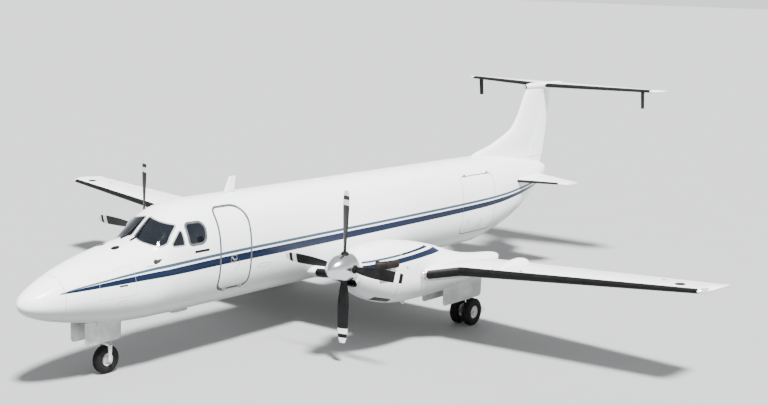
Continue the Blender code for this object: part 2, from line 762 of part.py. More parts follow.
def make_tailplane(finishes):
    rings = []
    for y in (-TAILPLANE_HALF, -TAIL_TIP[0], 0.0, TAIL_TIP[0], TAILPLANE_HALF):
        depth = 0.125 - 0.022 * abs(y)
        lead = tail_lead(abs(y)) if abs(y) <= TAIL_TIP[0] else 17.12
        rings.append(section_profile(lead, LENGTH - 0.004, y, TAILPLANE_Z, depth, 8))
    plane = loft("tailplane", rings, finishes["paint"])
    bays = []
    for side in (-1, 1):
        ends = [side * (ELEVATOR_SPAN[0] - RUNNING_GAP), side * (ELEVATOR_SPAN[1] + RUNNING_GAP)]
        bay_rings = [elevator_ring(y, 0.040 - 0.008 * abs(y), 18.3, 0.5) for y in ends]
        bays.append(loft(f"elevator_bay_{side}", bay_rings, None))
        bays.append(hinge_pin(f"elevator_pin_room_{side}", *elevator_axis(side), PIN_PLAY))
    bullet = bullet_fairing("tail_bullet")
    taillets = []
    for side in (-1, 1):
        root = fin_profile(TAILPLANE_Z + 0.006, 16.92, 17.11, 0.026)
        tip = fin_profile(4.0, 16.99, 17.16, 0.020)
        shift = Vector((0, side * 2.40, 0))
        taillets.append(loft(f"taillet_{side}", [[p + shift for p in ring] for ring in (root, tip)], None))
    boolean(plane, "UNION", [bullet] + taillets)
    boolean(plane, "DIFFERENCE", bays)
    for side, word in ((-1, "port"), (1, "starboard")):
        rings = [elevator_ring(side * y, 0.032 - 0.008 * y, LENGTH, 0.003) for y in ELEVATOR_SPAN]
        elevator = loft(f"elevator_{word}", rings, finishes["paint"])
        boolean(elevator, "UNION", [hinge_pin(f"elevator_pin_{word}", *elevator_axis(side))])
        set_origin(elevator, place(ELEVATOR_HINGE, 0.0, TAILPLANE_Z))


def bullet_fairing(name, grow=0.0):
    """The pod at the crossing of fin and tailplane: pointed in front, slim behind."""
    rings = []
    for station, radius, z in ((15.32, 0.02, 4.44), (15.42, 0.055, 4.445), (15.70, 0.085, 4.45),
                               (16.30, 0.088, 4.452), (16.95, 0.080, 4.46), (17.15, 0.060, 4.46)):
        radius += grow
        rings.append([place(station, radius * cos(a), z + radius * sin(a))
                      for a in (2 * pi * (k + 0.37) / 12 for k in range(12))])
    return loft(name, rings, None)


# Power plants

def make_power_plant(side, word, finishes):
    y = side * NACELLE_Y
    outer = body_rings(NACELLE, NACELLE[0][0], FIREWALL - GAP, y, 0.0, NACELLE_POINTS)
    inner = body_rings(NACELLE, NACELLE[0][0] + 0.04, FIREWALL - GAP, y, COWL_SKIN, NACELLE_POINTS)
    cowling = loft(f"cowling_{word}", outer + inner[::-1], finishes["paint"])
    intake = rounded(((y - 0.17, 1.43), (y + 0.17, 1.43), (y + 0.15, 1.545), (y - 0.15, 1.545)), (0.05,) * 4)
    front = place(5.0, 0, 0).x
    cuts = [prism(f"intake_cut_{word}", intake, "X", front, place(5.35, 0, 0).x),
            rod(f"shaft_cut_{word}", place(5.0, y, HUB_Z), place(5.3, y, HUB_Z), SHAFT_RADIUS + 0.01)]
    engine_face = place(5.36, y, HUB_Z)
    engine_back = place(FIREWALL - GAP, y, HUB_Z)
    engine = rod(f"engine_{word}", engine_face, engine_back, 0.235, finishes["engine"], 20)
    shaft = rod(f"shaft_{word}", place(HUB_BACK + 0.0006, y, HUB_Z), place(5.5, y, HUB_Z), SHAFT_RADIUS)
    boolean(engine, "UNION", [shaft])
    collar_front, collar_back = 5.46, 5.62
    ring_in, ring_out = 0.2356, 0.27
    collar_rings = [circle(place(s, y, HUB_Z), r, (1, 0, 0), 20) for s, r in (
        (collar_front, ring_in), (collar_front, ring_out), (collar_back, ring_out), (collar_back, ring_in))]
    exhaust = loft(f"exhaust_{word}", collar_rings, finishes["exhaust"], closed_chain=True)
    stacks = []
    for out in (-1, 1):
        path = [place(s, y + out * w, z) for s, w, z in STACK_PATH]
        stacks.append(tube(f"stack_{word}_{out}", path, 0.065, None, 12, 0.8))
        cuts.append(tube(f"stack_cut_{word}_{out}", path, 0.085, None, 12, 0.85))
    boolean(exhaust, "UNION", stacks)
    boolean(cowling, "DIFFERENCE", cuts)
    make_nacelle(side, word, finishes)
    make_propeller(side, word, finishes)


def make_nacelle(side, word, finishes):
    y = side * NACELLE_Y
    rings = body_rings(NACELLE, FIREWALL + GAP, NACELLE[-1][0], y, 0.0, NACELLE_POINTS)
    nacelle = loft(f"nacelle_{word}", rings, finishes["paint"])
    well = block(f"main_gear_well_{word}", place(7.75, y - 0.235, 0.5), place(9.42, y + 0.235, 1.28))
    boolean(nacelle, "DIFFERENCE", [well])
    doors = []
    for out in (-1, 1):
        near = y + out * 0.242
        far = y + out * 0.256
        doors.append(block(f"main_gear_door_{word}_{out}", place(7.85, min(near, far), 0.62),
                           place(9.20, max(near, far), 1.06)))
    boolean(nacelle, "UNION", doors)


def blade_ring(reach, chord, depth, pitch):
    """One section of a blade that points up from the hub, turned by its pitch."""
    ring = []
    turn = radians(pitch)
    for k in range(8):
        angle = 2 * pi * k / 8
        along, across = chord / 2 * cos(angle), depth / 2 * sin(angle)
        x = along * sin(turn) + across * cos(turn)
        ring.append(Vector((x, along * cos(turn) - across * sin(turn), reach)))
    return ring


def make_propeller(side, word, finishes):
    y = side * NACELLE_Y
    centre = place(PROP_PLANE, y, HUB_Z)
    hub = rod(f"propeller_{word}", place(HUB_FRONT, y, HUB_Z), place(HUB_BACK, y, HUB_Z),
              HUB_RADIUS, finishes["blade"], 24)
    blades = []
    for k in range(BLADE_COUNT):
        turn = Matrix.Rotation(2 * pi * k / BLADE_COUNT, 4, "X")
        rings = [[turn @ point + centre for point in blade_ring(*row)] for row in BLADE]
        blades.append(loft(f"blade_{word}_{k}", rings, None))
    boolean(hub, "UNION", blades)
    set_origin(hub, centre)
    rings = []
    for k in range(1, 7):
        share = k / 6
        station = SPINNER_TIP + (HUB_FRONT - GAP - SPINNER_TIP) * share
        radius = HUB_RADIUS * (1 - (1 - share) ** 1.75) ** 0.72
        rings.append(circle(place(station, y, HUB_Z), radius, (1, 0, 0), 24))
    nose = circle(place(SPINNER_TIP, y, HUB_Z), 0.012, (1, 0, 0), 24)
    spinner = loft(f"spinner_{word}", [nose] + rings, finishes["polished"])
    set_origin(spinner, centre)


# Landing gear

def tyre_profile(radius, width, bore):
    half = width / 2
    bulge, shoulder = bore + 0.25 * (radius - bore), bore + 0.62 * (radius - bore)
    near = ((-half * 0.72, bore), (-half, bulge), (-half * 0.98, shoulder), (-half * 0.55, radius))
    return near + tuple((-offset, reach) for offset, reach in near[::-1])


def rim_profile(radius, width, hole):
    half = width / 2
    boss, disc, seat = radius * 0.42, radius * 0.80, radius
    near = ((-half * 0.70, hole), (-half * 0.70, boss), (-half * 0.30, disc), (-half * 0.78, seat))
    return near + tuple((-offset, reach) for offset, reach in near[::-1])


def make_wheel(name, centre, tyre, axle_radius, pivot, finishes):
    radius, width = tyre
    bore = radius * 0.46
    rubber = turned(f"{name}_tyre", tyre_profile(radius, width, bore), centre, finishes["tyre"])
    rim_shape = rim_profile(bore - GAP, width * 0.92, axle_radius + 0.0008)
    rim = turned(f"{name}_rim", rim_shape, centre, finishes["rim"])
    set_origin(rubber, pivot)
    set_origin(rim, pivot)


def make_nose_gear(finishes):
    foot = place(NOSE_GEAR, 0.0, NOSE_TYRE[0])
    top = place(NOSE_GEAR, 0, 1.30 - GAP)
    leg = rod("nose_leg", place(NOSE_GEAR, 0, 0.66), top, 0.048, finishes["strut"])
    brace = rod("nose_drag_brace", place(NOSE_GEAR, 0, 0.86), place(1.36, 0, 1.27), 0.022, None, 10)
    trunnion_ends = [place(NOSE_GEAR, y, 1.20) for y in (-0.168, 0.168)]
    trunnion = rod("nose_trunnion", *trunnion_ends, 0.035, None, 12)
    boolean(leg, "UNION", [brace, trunnion])
    fork = rod("nose_fork", place(NOSE_GEAR, 0, 0.53), place(NOSE_GEAR, 0, 0.6595), 0.038, finishes["strut"])
    bridge_corners = (place(NOSE_GEAR - 0.05, -0.128, 0.512), place(NOSE_GEAR + 0.05, 0.128, 0.548))
    arms = [block("fork_bridge", *bridge_corners)]
    for side in (-1, 1):
        inner, outer = side * 0.102, side * 0.128
        arms.append(block(f"fork_arm_{side}", place(NOSE_GEAR - 0.035, min(inner, outer), 0.215),
                          place(NOSE_GEAR + 0.035, max(inner, outer), 0.53)))
    arms.append(rod("nose_axle", foot + Vector((0, -0.12, 0)), foot + Vector((0, 0.12, 0)), 0.019))
    boolean(fork, "UNION", arms)
    set_origin(fork, place(NOSE_GEAR, 0.0, 0.66))
    make_wheel("nose", foot, NOSE_TYRE, 0.019, foot, finishes)


def make_main_gear(side, word, finishes):
    y = side * NACELLE_Y
    axle = place(MAIN_GEAR, y, MAIN_TYRE[0])
    top = place(MAIN_GEAR, y, 1.28 - GAP)
    leg = rod(f"main_leg_{word}", place(MAIN_GEAR, y, 0.62), top, 0.062, finishes["strut"])
    piston = rod(f"main_piston_{word}", place(MAIN_GEAR, y, 0.25), place(MAIN_GEAR, y, 0.70), 0.045)
    brace = rod(f"main_drag_brace_{word}", place(MAIN_GEAR, y, 0.74), place(8.30, y, 1.24), 0.026, None, 10)
    trunnion_ends = [place(MAIN_GEAR, y + offset, 1.16) for offset in (-0.233, 0.233)]
    trunnion = rod(f"main_trunnion_{word}", *trunnion_ends, 0.045, None, 12)
    bar = rod(f"main_axle_{word}", axle + Vector((0, -0.235, 0)), axle + Vector((0, 0.235, 0)), 0.028)
    boolean(leg, "UNION", [piston, brace, trunnion, bar])
    for out, place_word in ((-1, "left"), (1, "right")):
        centre = axle + Vector((0, out * TWIN_HALF, 0))
        make_wheel(f"main_{word}_{place_word}", centre, MAIN_TYRE, 0.028, axle, finishes)


# Flight deck and cabin

def floor_ring(station):
    top, bottom = FLOOR_TOP, FLOOR_TOP - FLOOR_THICKNESS
    seat = GAP if station > FORWARD_JOINT else 0.004
    wide = half_width_at(station, bottom, SKIN) - seat
    return [place(station, -wide, bottom), place(station, wide, bottom), place(station, wide, top),
            place(station, -wide, top)]


def make_floor(finishes):
    first, last = NOSE_BAY_END + GAP, TAIL_JOINT - 0.05
    rings = [floor_ring(s) for s in stations_between(FUSELAGE, first, last)]
    floor = loft("cabin_floor", rings, finishes["cabin"])
    ring_front = section_ring(FUSELAGE, last - 0.001, inset=SKIN + GAP)
    ring_back = section_ring(FUSELAGE, last + 0.03, inset=SKIN + GAP)
    bulkhead = loft("aft_bulkhead", [ring_front, ring_back], None)
    return boolean(floor, "UNION", [bulkhead])


def make_flight_deck(finishes):
    outline = ((2.36, 1.62), (2.42, 2.04), (2.38, 2.07), (2.28, 2.03), (2.22, 1.62))
    shape = [(s - LENGTH / 2, z) for s, z in outline]
    dash = prism("instrument_panel", shape, "Y", -0.45, 0.45, finishes["panel"])
    column = block("centre_pedestal", place(2.28, -0.11, FLOOR_TOP + GAP), place(2.86, 0.11, 1.66))
    yokes = []
    for side in (-1, 1):
        y = side * 0.33
        yokes.append(rod(f"yoke_shaft_{side}", place(2.38, y, 1.80), place(2.60, y, 1.80), 0.018, None, 8))
        yokes.append(block(f"yoke_{side}", place(2.585, y - 0.15, 1.77), place(2.615, y + 0.15, 1.83)))
    boolean(dash, "UNION", [column] + yokes)
    for side, word in ((-1, "port"), (1, "starboard")):
        y = side * 0.33
        corners = (place(2.86, y - 0.20, 1.56), place(3.28, y + 0.20, 1.68))
        seat = block(f"pilot_seat_{word}", *corners, finishes["seat"])
        back = block(f"seat_back_{word}", place(3.20, y - 0.20, 1.60), place(3.31, y + 0.20, 2.20))
        head = block(f"head_rest_{word}", place(3.21, y - 0.11, 2.15), place(3.29, y + 0.11, 2.40))
        base = block(f"seat_base_{word}", place(2.95, y - 0.13, FLOOR_TOP + GAP), place(3.20, y + 0.13, 1.60))
        boolean(seat, "UNION", [back, head, base])


def main():
    clear_scene()
    finishes = make_finishes()
    make_radome(finishes)
    make_forward_fuselage(finishes)
    make_panes(finishes)
    make_cabin(finishes)
    make_doors(finishes)
    make_tail_cone(finishes)
    make_floor(finishes)
    make_flight_deck(finishes)
    make_wings(finishes)
    make_fin(finishes)
    make_tailplane(finishes)
    for side, word in ((-1, "port"), (1, "starboard")):
        make_power_plant(side, word, finishes)
        make_main_gear(side, word, finishes)
    make_nose_gear(finishes)


main()
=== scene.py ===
# %% [markdown]
# A twin-turboprop commuter airliner, parked on its gear.
# The imported model gives the frame: bodies that move on joints, and plain solids that show where each piece
# belongs. The solids could simply be coloured, but their facets show. Here each visible solid is drawn
# again as a fine skin from the same loft tables, and small fittings are added on top.

# %% Load the frame
import bpy
import bmesh
import numpy as np
from math import sin, cos, pi, radians, sqrt, atan2, ceil
from mathutils import Vector, Matrix, Quaternion


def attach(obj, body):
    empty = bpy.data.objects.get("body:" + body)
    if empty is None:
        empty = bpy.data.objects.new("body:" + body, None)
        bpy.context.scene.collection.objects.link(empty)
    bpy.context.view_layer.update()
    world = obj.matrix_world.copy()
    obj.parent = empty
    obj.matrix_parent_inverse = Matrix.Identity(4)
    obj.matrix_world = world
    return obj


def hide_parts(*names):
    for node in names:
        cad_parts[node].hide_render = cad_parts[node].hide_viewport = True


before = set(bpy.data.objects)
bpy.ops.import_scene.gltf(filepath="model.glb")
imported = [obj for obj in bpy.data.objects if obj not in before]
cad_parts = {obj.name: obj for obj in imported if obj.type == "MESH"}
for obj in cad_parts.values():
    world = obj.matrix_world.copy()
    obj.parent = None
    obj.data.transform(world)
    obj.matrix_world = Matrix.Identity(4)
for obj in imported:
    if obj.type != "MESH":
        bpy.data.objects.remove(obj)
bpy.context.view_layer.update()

scene = bpy.context.scene

# %% [markdown]
# The camera stands in front of the port wing, a little above the fin, as the photographer did from another
# aircraft. A camera can be aimed by a constraint or by a quaternion. The quaternion is used, because the
# picture also leans by two degrees, which is one more turn about the line of sight.

# %% Camera
EYE = Vector((-21.161, -16.529, 6.649))
SIGHT = Vector((0.78845, 0.59328, -0.16238))
LEAN = radians(2.05)
FOCAL_LENGTH, SENSOR_WIDTH = 59.785, 36.0

camera_data = bpy.data.cameras.new("camera")
camera_data.sensor_width = SENSOR_WIDTH
camera_data.lens = FOCAL_LENGTH
camera_data.clip_end = 6000.0
camera = bpy.data.objects.new("camera", camera_data)
scene.collection.objects.link(camera)
camera.rotation_mode = "QUATERNION"
camera.location = EYE
camera.rotation_quaternion = SIGHT.to_track_quat("-Z", "Y") @ Quaternion((0, 0, 1), LEAN)
scene.camera = camera
print("camera", [round(v, 2) for v in EYE])

# %% [markdown]
# Aircraft are drawn by stations, the distance aft of the nose, so every place here is a station, a side and
# a height. A loft table has few rows. Straight runs between them would show as bends in the paint's
# reflections, and a plain spline could swell past the rows, so a monotone cubic joins them: it is smooth
# and never overshoots.

# %% Places and smooth tables
LENGTH = 17.63
SIDES = ((-1, "port"), (1, "starboard"))
AFT, RIGHT, UP = Vector((1, 0, 0)), Vector((0, 1, 0)), Vector((0, 0, 1))


def place(station, y, z):
    return Vector((station - LENGTH / 2, y, z))


def smooth_table(rows, keys):
    """Every column of a table at many keys, on monotone cubics."""
    rows = np.array(rows, float)
    x, y = rows[:, 0], rows[:, 1:]
    slope = np.diff(y, axis=0) / np.diff(x)[:, None]
    before, after = slope[:-1], slope[1:]
    same_way = before * after > 0
    total = np.where(same_way, before + after, 1.0)
    tangent = np.vstack([slope[:1], np.where(same_way, 2 * before * after / total, 0.0), slope[-1:]])
    keys = np.clip(np.atleast_1d(keys), x[0], x[-1])
    low = np.clip(np.searchsorted(x, keys, side="right") - 1, 0, len(x) - 2)
    width = (x[low + 1] - x[low])[:, None]
    t = ((keys - x[low]) / (x[low + 1] - x[low]))[:, None]
    return ((2 * t**3 - 3 * t**2 + 1) * y[low] + (t**3 - 2 * t**2 + t) * width * tangent[low]
            + (3 * t**2 - 2 * t**3) * y[low + 1] + (t**3 - t**2) * width * tangent[low + 1])


def rows_at(rows, keys):
    """The rows of a smooth table at many keys, each with its key in front."""
    return [(key, *row) for key, row in zip(keys, smooth_table(rows, keys).tolist())]


def straight_table(rows, key, column):
    return float(np.interp(key, [row[0] for row in rows], [row[column] for row in rows]))


def run(first, last, step):
    """Even values from first to last, no further apart than the step."""
    return np.linspace(first, last, max(2, ceil((last - first) / step) + 1)).tolist()


def angles(count, shift=0.0):
    return [2 * pi * (k + shift) / count for k in range(count)]


print("place", place(0, 0, 1.5))

# %% [markdown]
# A mesh can come from primitives, curves or raw points. Aircraft skins are lofts: rings of points joined by
# quads. These helpers make meshes and not objects, so a shape can be cut and joined before it becomes a
# piece.

# %% Mesh helpers
SHARP = 30.0


def mesh_from(points, faces):
    mesh = bpy.data.meshes.new("shape")
    mesh.from_pydata([tuple(p) for p in points], [], faces)
    return mesh


def mesh_of(bm):
    mesh = bpy.data.meshes.new("shape")
    bm.to_mesh(mesh)
    bm.free()
    return mesh


def shaded(mesh, sharp=SHARP):
    """Shades a mesh smooth, but keeps its real edges sharp."""
    mesh.shade_smooth()
    mesh.set_sharp_from_angle(angle=radians(sharp))
    return mesh


def outward(mesh, sharp=SHARP):
    """Turns the faces of a closed mesh out."""
    bm = bmesh.new()
    bm.from_mesh(mesh)
    bmesh.ops.recalc_face_normals(bm, faces=bm.faces)
    bm.to_mesh(mesh)
    bm.free()
    return shaded(mesh, sharp)


def loft(rings, wrap=False, sharp=SHARP):
    """A closed skin over rings of points, capped at both ends or joined into a closed chain."""
    rings = [np.array(ring, float) for ring in rings]
    count = len(rings[0])
    faces = []
    for r in range(len(rings) if wrap else len(rings) - 1):
        near, far = r * count, (r + 1) % len(rings) * count
        faces += [(near + c, near + (c + 1) % count, far + (c + 1) % count, far + c) for c in range(count)]
    if not wrap:
        faces += [tuple(range(count)), tuple(range(len(rings) * count - count, len(rings) * count))]
    return outward(mesh_from(np.vstack(rings), faces), sharp)


def prism(outline, axis, low, high):
    """An outline across the X or the Y axis, extruded along it between two values."""
    if axis == "X":
        return loft([[(w, u, v) for u, v in outline] for w in (low, high)])
    return loft([[(u, w, v) for u, v in outline] for w in (low, high)])


def block(low, high, bevel=0.0):
    """A box between two corners, with rounded edges where a bevel is given."""
    bm = bmesh.new()
    bmesh.ops.create_cube(bm, size=1.0)
    low, high = Vector(low), Vector(high)
    for vert in bm.verts:
        vert.co = Vector((low[i] + (vert.co[i] + 0.5) * (high[i] - low[i]) for i in range(3)))
    if bevel:
        bmesh.ops.bevel(bm, geom=bm.edges, offset=bevel, segments=3, affect="EDGES", profile=0.5)
    return outward(mesh_of(bm))


def circle(centre, radius, axis, count=32):
    axis = Vector(axis).normalized()
    across = axis.orthogonal().normalized()
    other = axis.cross(across)
    return [Vector(centre) + radius * (cos(a) * across + sin(a) * other) for a in angles(count)]


def turned(centre, axis, profile, count=48, wrap=False, sharp=SHARP):
    """A shape turned about an axis; the profile is a list of (distance along the axis, radius)."""
    axis = Vector(axis).normalized()
    rings = [circle(Vector(centre) + along * axis, radius, axis, count) for along, radius in profile]
    return loft(rings, wrap, sharp)


def rod(start, end, radius, count=24, bevel=0.002):
    """A round bar with a small chamfer at both ends."""
    length = (Vector(end) - Vector(start)).length
    edge = min(bevel, radius / 3, length / 3)
    profile = ((0, radius - edge), (edge, radius), (length - edge, radius), (length, radius - edge))
    return turned(start, Vector(end) - Vector(start), profile, count)


def tube_rings(path, radius, count=12, flatten=1.0):
    """Round or oval rings along a path; radius is one value or one for each point."""
    path = [Vector(p) for p in path]
    radii = radius if isinstance(radius, (list, tuple)) else [radius] * len(path)
    rings = []
    for i, point in enumerate(path):
        ahead = path[min(i + 1, len(path) - 1)] - path[max(i - 1, 0)]
        side = ahead.cross(UP)
        side = side.normalized() if side.length > 1e-5 else RIGHT
        up = side.cross(ahead).normalized()
        rings.append([point + radii[i] * (flatten * cos(a) * side + sin(a) * up) for a in angles(count)])
    return rings


def tube(path, radius, count=12, flatten=1.0):
    return loft(tube_rings(path, radius, count, flatten))


def rounded(corners, radii, steps=8):
    """A closed outline with each corner turned into an arc of its own radius."""
    points = []
    for i, radius in enumerate(radii):
        here = Vector(corners[i])
        before = (Vector(corners[i - 1]) - here).normalized()
        after = (Vector(corners[(i + 1) % len(corners)]) - here).normalized()
        half = before.angle(after) / 2
        centre = here + (before + after).normalized() * (radius / sin(half))
        start = here + before * (radius / sin(half) * cos(half)) - centre
        end = here + after * (radius / sin(half) * cos(half)) - centre
        turn = atan2(start.x * end.y - start.y * end.x, start.dot(end))
        first = atan2(start.y, start.x)
        points += [centre + radius * Vector((cos(first + turn * k / steps), sin(first + turn * k / steps)))
                   for k in range(steps + 1)]
    return [(p.x, p.y) for p in points]


def join(meshes):
    """Several meshes as one."""
    bm = bmesh.new()
    for mesh in meshes:
        bm.from_mesh(mesh)
    return shaded(mesh_of(bm))


def moved(mesh, matrix):
    copy = mesh.copy()
    copy.transform(matrix)
    return copy


def evaluated(item):
    """An object's mesh with its modifiers applied."""
    return bpy.data.meshes.new_from_object(item.evaluated_get(bpy.context.evaluated_depsgraph_get()))


def cut(mesh, tools, operation="DIFFERENCE"):
    """A mesh after Boolean work with others, with no modifier left on it."""
    target = bpy.data.objects.new("target", mesh)
    helpers = [bpy.data.objects.new("tool", tool) for tool in tools]
    for item in [target] + helpers:
        scene.collection.objects.link(item)
    for helper in helpers:
        modifier = target.modifiers.new("cut", "BOOLEAN")
        modifier.operation = operation
        modifier.solver = "EXACT"
        modifier.object = helper
    result = evaluated(target)
    for item in [target] + helpers:
        bpy.data.objects.remove(item)
    return shaded(result)


def piece(name, mesh, material, body="airframe", nodes=()):
    """Makes a mesh a piece of the aircraft: it rides on a body, and may stand for solids of the frame."""
    mesh.materials.clear()
    mesh.materials.append(material)
    item = bpy.data.objects.new(name, mesh)
    mesh.name = name
    scene.collection.objects.link(item)
    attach(item, body)
    if nodes:
        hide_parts(*nodes)
    return item


print("mesh helpers ready")

# %% [markdown]
# Paint on an aircraft is smooth, but never one flat colour: dirt streams aft in the airflow, seams and
# rivet rows catch the light, and edges wear. Each of these is a shader node group, built once, that gives a
# mask or a height. Image textures would tie the look to files. Node groups work at any scale and come with
# the script. A socket is wrapped as a signal, so that a sum of sockets is written like a sum of numbers.

# %% Node helpers
class Signal:
    """An output socket that adds a Math node when it is part of a sum."""

    def __init__(self, wire, socket):
        self.wire = wire
        self.socket = socket

    def __add__(self, other):
        return self.wire.math("ADD", self, other)

    def __sub__(self, other):
        return self.wire.math("SUBTRACT", self, other)

    def __rsub__(self, other):
        return self.wire.math("SUBTRACT", other, self)

    def __mul__(self, other):
        return self.wire.math("MULTIPLY", self, other)

    def __truediv__(self, other):
        return self.wire.math("DIVIDE", self, other)

    def __abs__(self):
        return self.wire.math("ABSOLUTE", self)


class Wiring:
    """Short calls that add nodes to one tree and link them."""

    def __init__(self, tree):
        self.tree = tree

    def feed(self, value, socket):
        """Links a signal to a socket, or sets the socket to a constant."""
        if isinstance(value, Signal):
            self.tree.links.new(value.socket, socket)
        else:
            socket.default_value = value

    def node(self, kind, inputs=None, **settings):
        made = self.tree.nodes.new("ShaderNode" + kind)
        for label, value in settings.items():
            setattr(made, label, value)
        for label, value in (inputs or {}).items():
            self.feed(value, made.inputs[label])
        return made

    def out(self, kind, output=0, inputs=None, **settings):
        return Signal(self, self.node(kind, inputs, **settings).outputs[output])

    def math(self, operation, first, second=0.0):
        return self.out("Math", 0, {0: first, 1: second}, operation=operation)

    def step(self, value, low, high, smooth=True):
        """Rises from 0 to 1 as the value goes from low to high."""
        kind = "SMOOTHSTEP" if smooth else "LINEAR"
        inputs = {"Value": value, "From Min": low, "From Max": high}
        return self.out("MapRange", 0, inputs, interpolation_type=kind)

    def mix(self, factor, first, second):
        """A colour between two colours."""
        first, second = (c if isinstance(c, Signal) else (*c, 1.0) for c in (first, second))
        return self.out("Mix", 2, {0: factor, 6: first, 7: second}, data_type="RGBA")

    def noise(self, vector, scale, detail=4.0):
        inputs = {"Vector": vector, "Scale": scale, "Detail": detail, "Roughness": 0.55}
        return self.out("TexNoise", 0, inputs)

    def where(self):
        """The place on the object, whole and as x, y and z."""
        spot = self.out("TexCoord", "Object")
        return [spot] + [Signal(self, part) for part in self.node("SeparateXYZ", {0: spot}).outputs]

    def group(self, tree, inputs=None):
        """A node group set in this tree; gives its outputs by name."""
        made = self.node("Group", inputs, node_tree=tree)
        return {socket.name: Signal(self, socket) for socket in made.outputs}

    def surface(self, shader, color, rough, height=None, strength=0.3, distance=0.0005):
        """Feeds a shader's colour and roughness, and its normal from a height."""
        self.feed(color, shader.inputs["Base Color"])
        self.feed(rough, shader.inputs["Roughness"])
        if height:
            relief = self.out("Bump", 0, {"Height": height, "Strength": strength, "Distance": distance})
            self.feed(relief, shader.inputs["Normal"])


def new_group(name, inputs, outputs):
    """A shader node group with named sockets: its wiring, what it is given, and its outputs to feed."""
    tree = bpy.data.node_groups.new(name, "ShaderNodeTree")
    for label, value in inputs.items():
        socket = tree.interface.new_socket(name=label, in_out="INPUT", socket_type="NodeSocketFloat")
        socket.default_value = value
    for label in outputs:
        tree.interface.new_socket(name=label, in_out="OUTPUT", socket_type="NodeSocketFloat")
    wire = Wiring(tree)
    given = {socket.name: Signal(wire, socket) for socket in tree.nodes.new("NodeGroupInput").outputs}
    return wire, given, tree.nodes.new("NodeGroupOutput").inputs


def new_material(name, slot, **sockets):
    """A material with one Principled BSDF; constants are set on the shader's own sockets."""
    material = bpy.data.materials.new(name)
    material.use_nodes = True
    shader = material.node_tree.nodes["Principled BSDF"]
    for label, value in sockets.items():
        shader.inputs[label.replace("_", " ")].default_value = value
    return material, Wiring(material.node_tree), shader


print("node helpers ready")

# %% [markdown]
# Stream dirt is noise stretched along the airflow. Without the stretch it would look like clouds or rust. A
# second mask is partly grime and partly painted shade: it is strong low on the body, where oil, exhaust and
# runway water collect, and on faces that look down, where it is painted shade only.

# %% Stream dirt and painted underside shade
def build_dirt_and_shade():
    inputs = {"Scale": 3.0, "Stretch": 8.0, "Low Height": 0.86, "High Height": 1.32}
    wire, given, out = new_group("stream_dirt_and_shade", inputs, ("Streaks", "Low Grime And Shade", "Mottle"))
    where, x, y, z = wire.where()
    squeezed = wire.out("CombineXYZ", 0, {0: x / given["Stretch"], 1: y, 2: z})
    wire.feed(wire.step(wire.noise(squeezed, given["Scale"], 6.0), 0.48, 0.78), out["Streaks"])
    # Partly grime, partly painted shade: a patchy darkening towards the bottom of the body, and painted shade
    # on faces that look down, below 1.8 m.
    low = wire.step(z, given["High Height"], given["Low Height"])
    patchy = low * wire.step(wire.noise(where, 1.7, 5.0), 0.05, 0.6)
    facing = wire.out("SeparateXYZ", 2, {0: wire.out("TexCoord", "Normal")})
    underside_shade = wire.step(facing, -0.02, -0.55) * wire.step(z, 1.80, 1.50)
    wire.feed(wire.math("MAXIMUM", patchy, underside_shade * 0.85), out["Low Grime And Shade"])
    wire.feed(wire.noise(where, 6.0, 3.0), out["Mottle"])
    return wire.tree


DIRT_AND_SHADE = build_dirt_and_shade()
print("group", DIRT_AND_SHADE.name)

# %% [markdown]
# The skin is sheet metal on frames. Seams lie across the body at an even pitch, with a row of flush rivets
# each side. They could be modelled, but they are a millimetre deep, so a height for the Bump node is
# enough.

# %% Seams and rivets
ROW_OFFSET, RIVET_RADIUS = 0.018, 0.0035


def build_seams():
    inputs = {"Pitch": 1.2, "Offset": 0.0, "Width": 0.0025, "Rivet Pitch": 0.03}
    wire, given, out = new_group("seams", inputs, ("Seam", "Rivet"))
    where, x, y, z = wire.where()
    off_seam = wire.math("PINGPONG", x + given["Offset"], given["Pitch"] / 2.0)
    wire.feed(wire.step(off_seam, given["Width"], given["Width"] * 0.4), out["Seam"])
    off_rivet = wire.math("PINGPONG", y + z, given["Rivet Pitch"] / 2.0)
    off_row = abs(off_seam - ROW_OFFSET)
    reach = wire.math("SQRT", wire.math("POWER", off_rivet, 2.0) + wire.math("POWER", off_row, 2.0))
    wire.feed(wire.step(reach, RIVET_RADIUS, 0.0020), out["Rivet"])
    return wire.tree


SEAMS = build_seams()
print("group", SEAMS.name)

# %% [markdown]
# The cheat line is a thin blue line over a navy band. Both start as a point behind the radome and run to
# the tail. A decal would need an image and would slide at the doors. Here two curves give the heights along
# the body, and the mask is the distance to them, so the stripe crosses the doors without a step.

# %% Stripe masks
BLUE_LINE = ((0.53, 1.660), (1.21, 1.772), (2.39, 1.868), (3.45, 1.909), (5.90, 1.928), (9.10, 1.936),
             (12.25, 1.965), (13.39, 2.00), (14.23, 2.05), (15.00, 2.09), (15.70, 2.13))
NAVY_FOOT = ((0.53, 1.655), (1.75, 1.695), (2.79, 1.700), (3.65, 1.713), (5.93, 1.718), (9.16, 1.742),
             (12.26, 1.782), (13.15, 1.82), (13.95, 1.88), (14.96, 1.97), (15.70, 2.06))
STRIPE_START, STRIPE_FULL, STRIPE_END = 0.53, 2.60, 15.62
STRIPE_LOW, STRIPE_HIGH = 1.60, 2.20
SOFT_EDGE = {"Soft": 0.003}


def height_curve(wire, share, rows):
    """A Float Curve that gives a height for a share of the length."""
    curve = wire.node("FloatCurve", {"Value": share})
    line = curve.mapping.curves[0]
    for k, (station, z) in enumerate(rows):
        spot = (station / LENGTH, (z - STRIPE_LOW) / (STRIPE_HIGH - STRIPE_LOW))
        if k < 2:
            line.points[k].location = spot
        else:
            line.points.new(*spot)
    curve.mapping.update()
    return Signal(wire, curve.outputs[0]) * (STRIPE_HIGH - STRIPE_LOW) + STRIPE_LOW


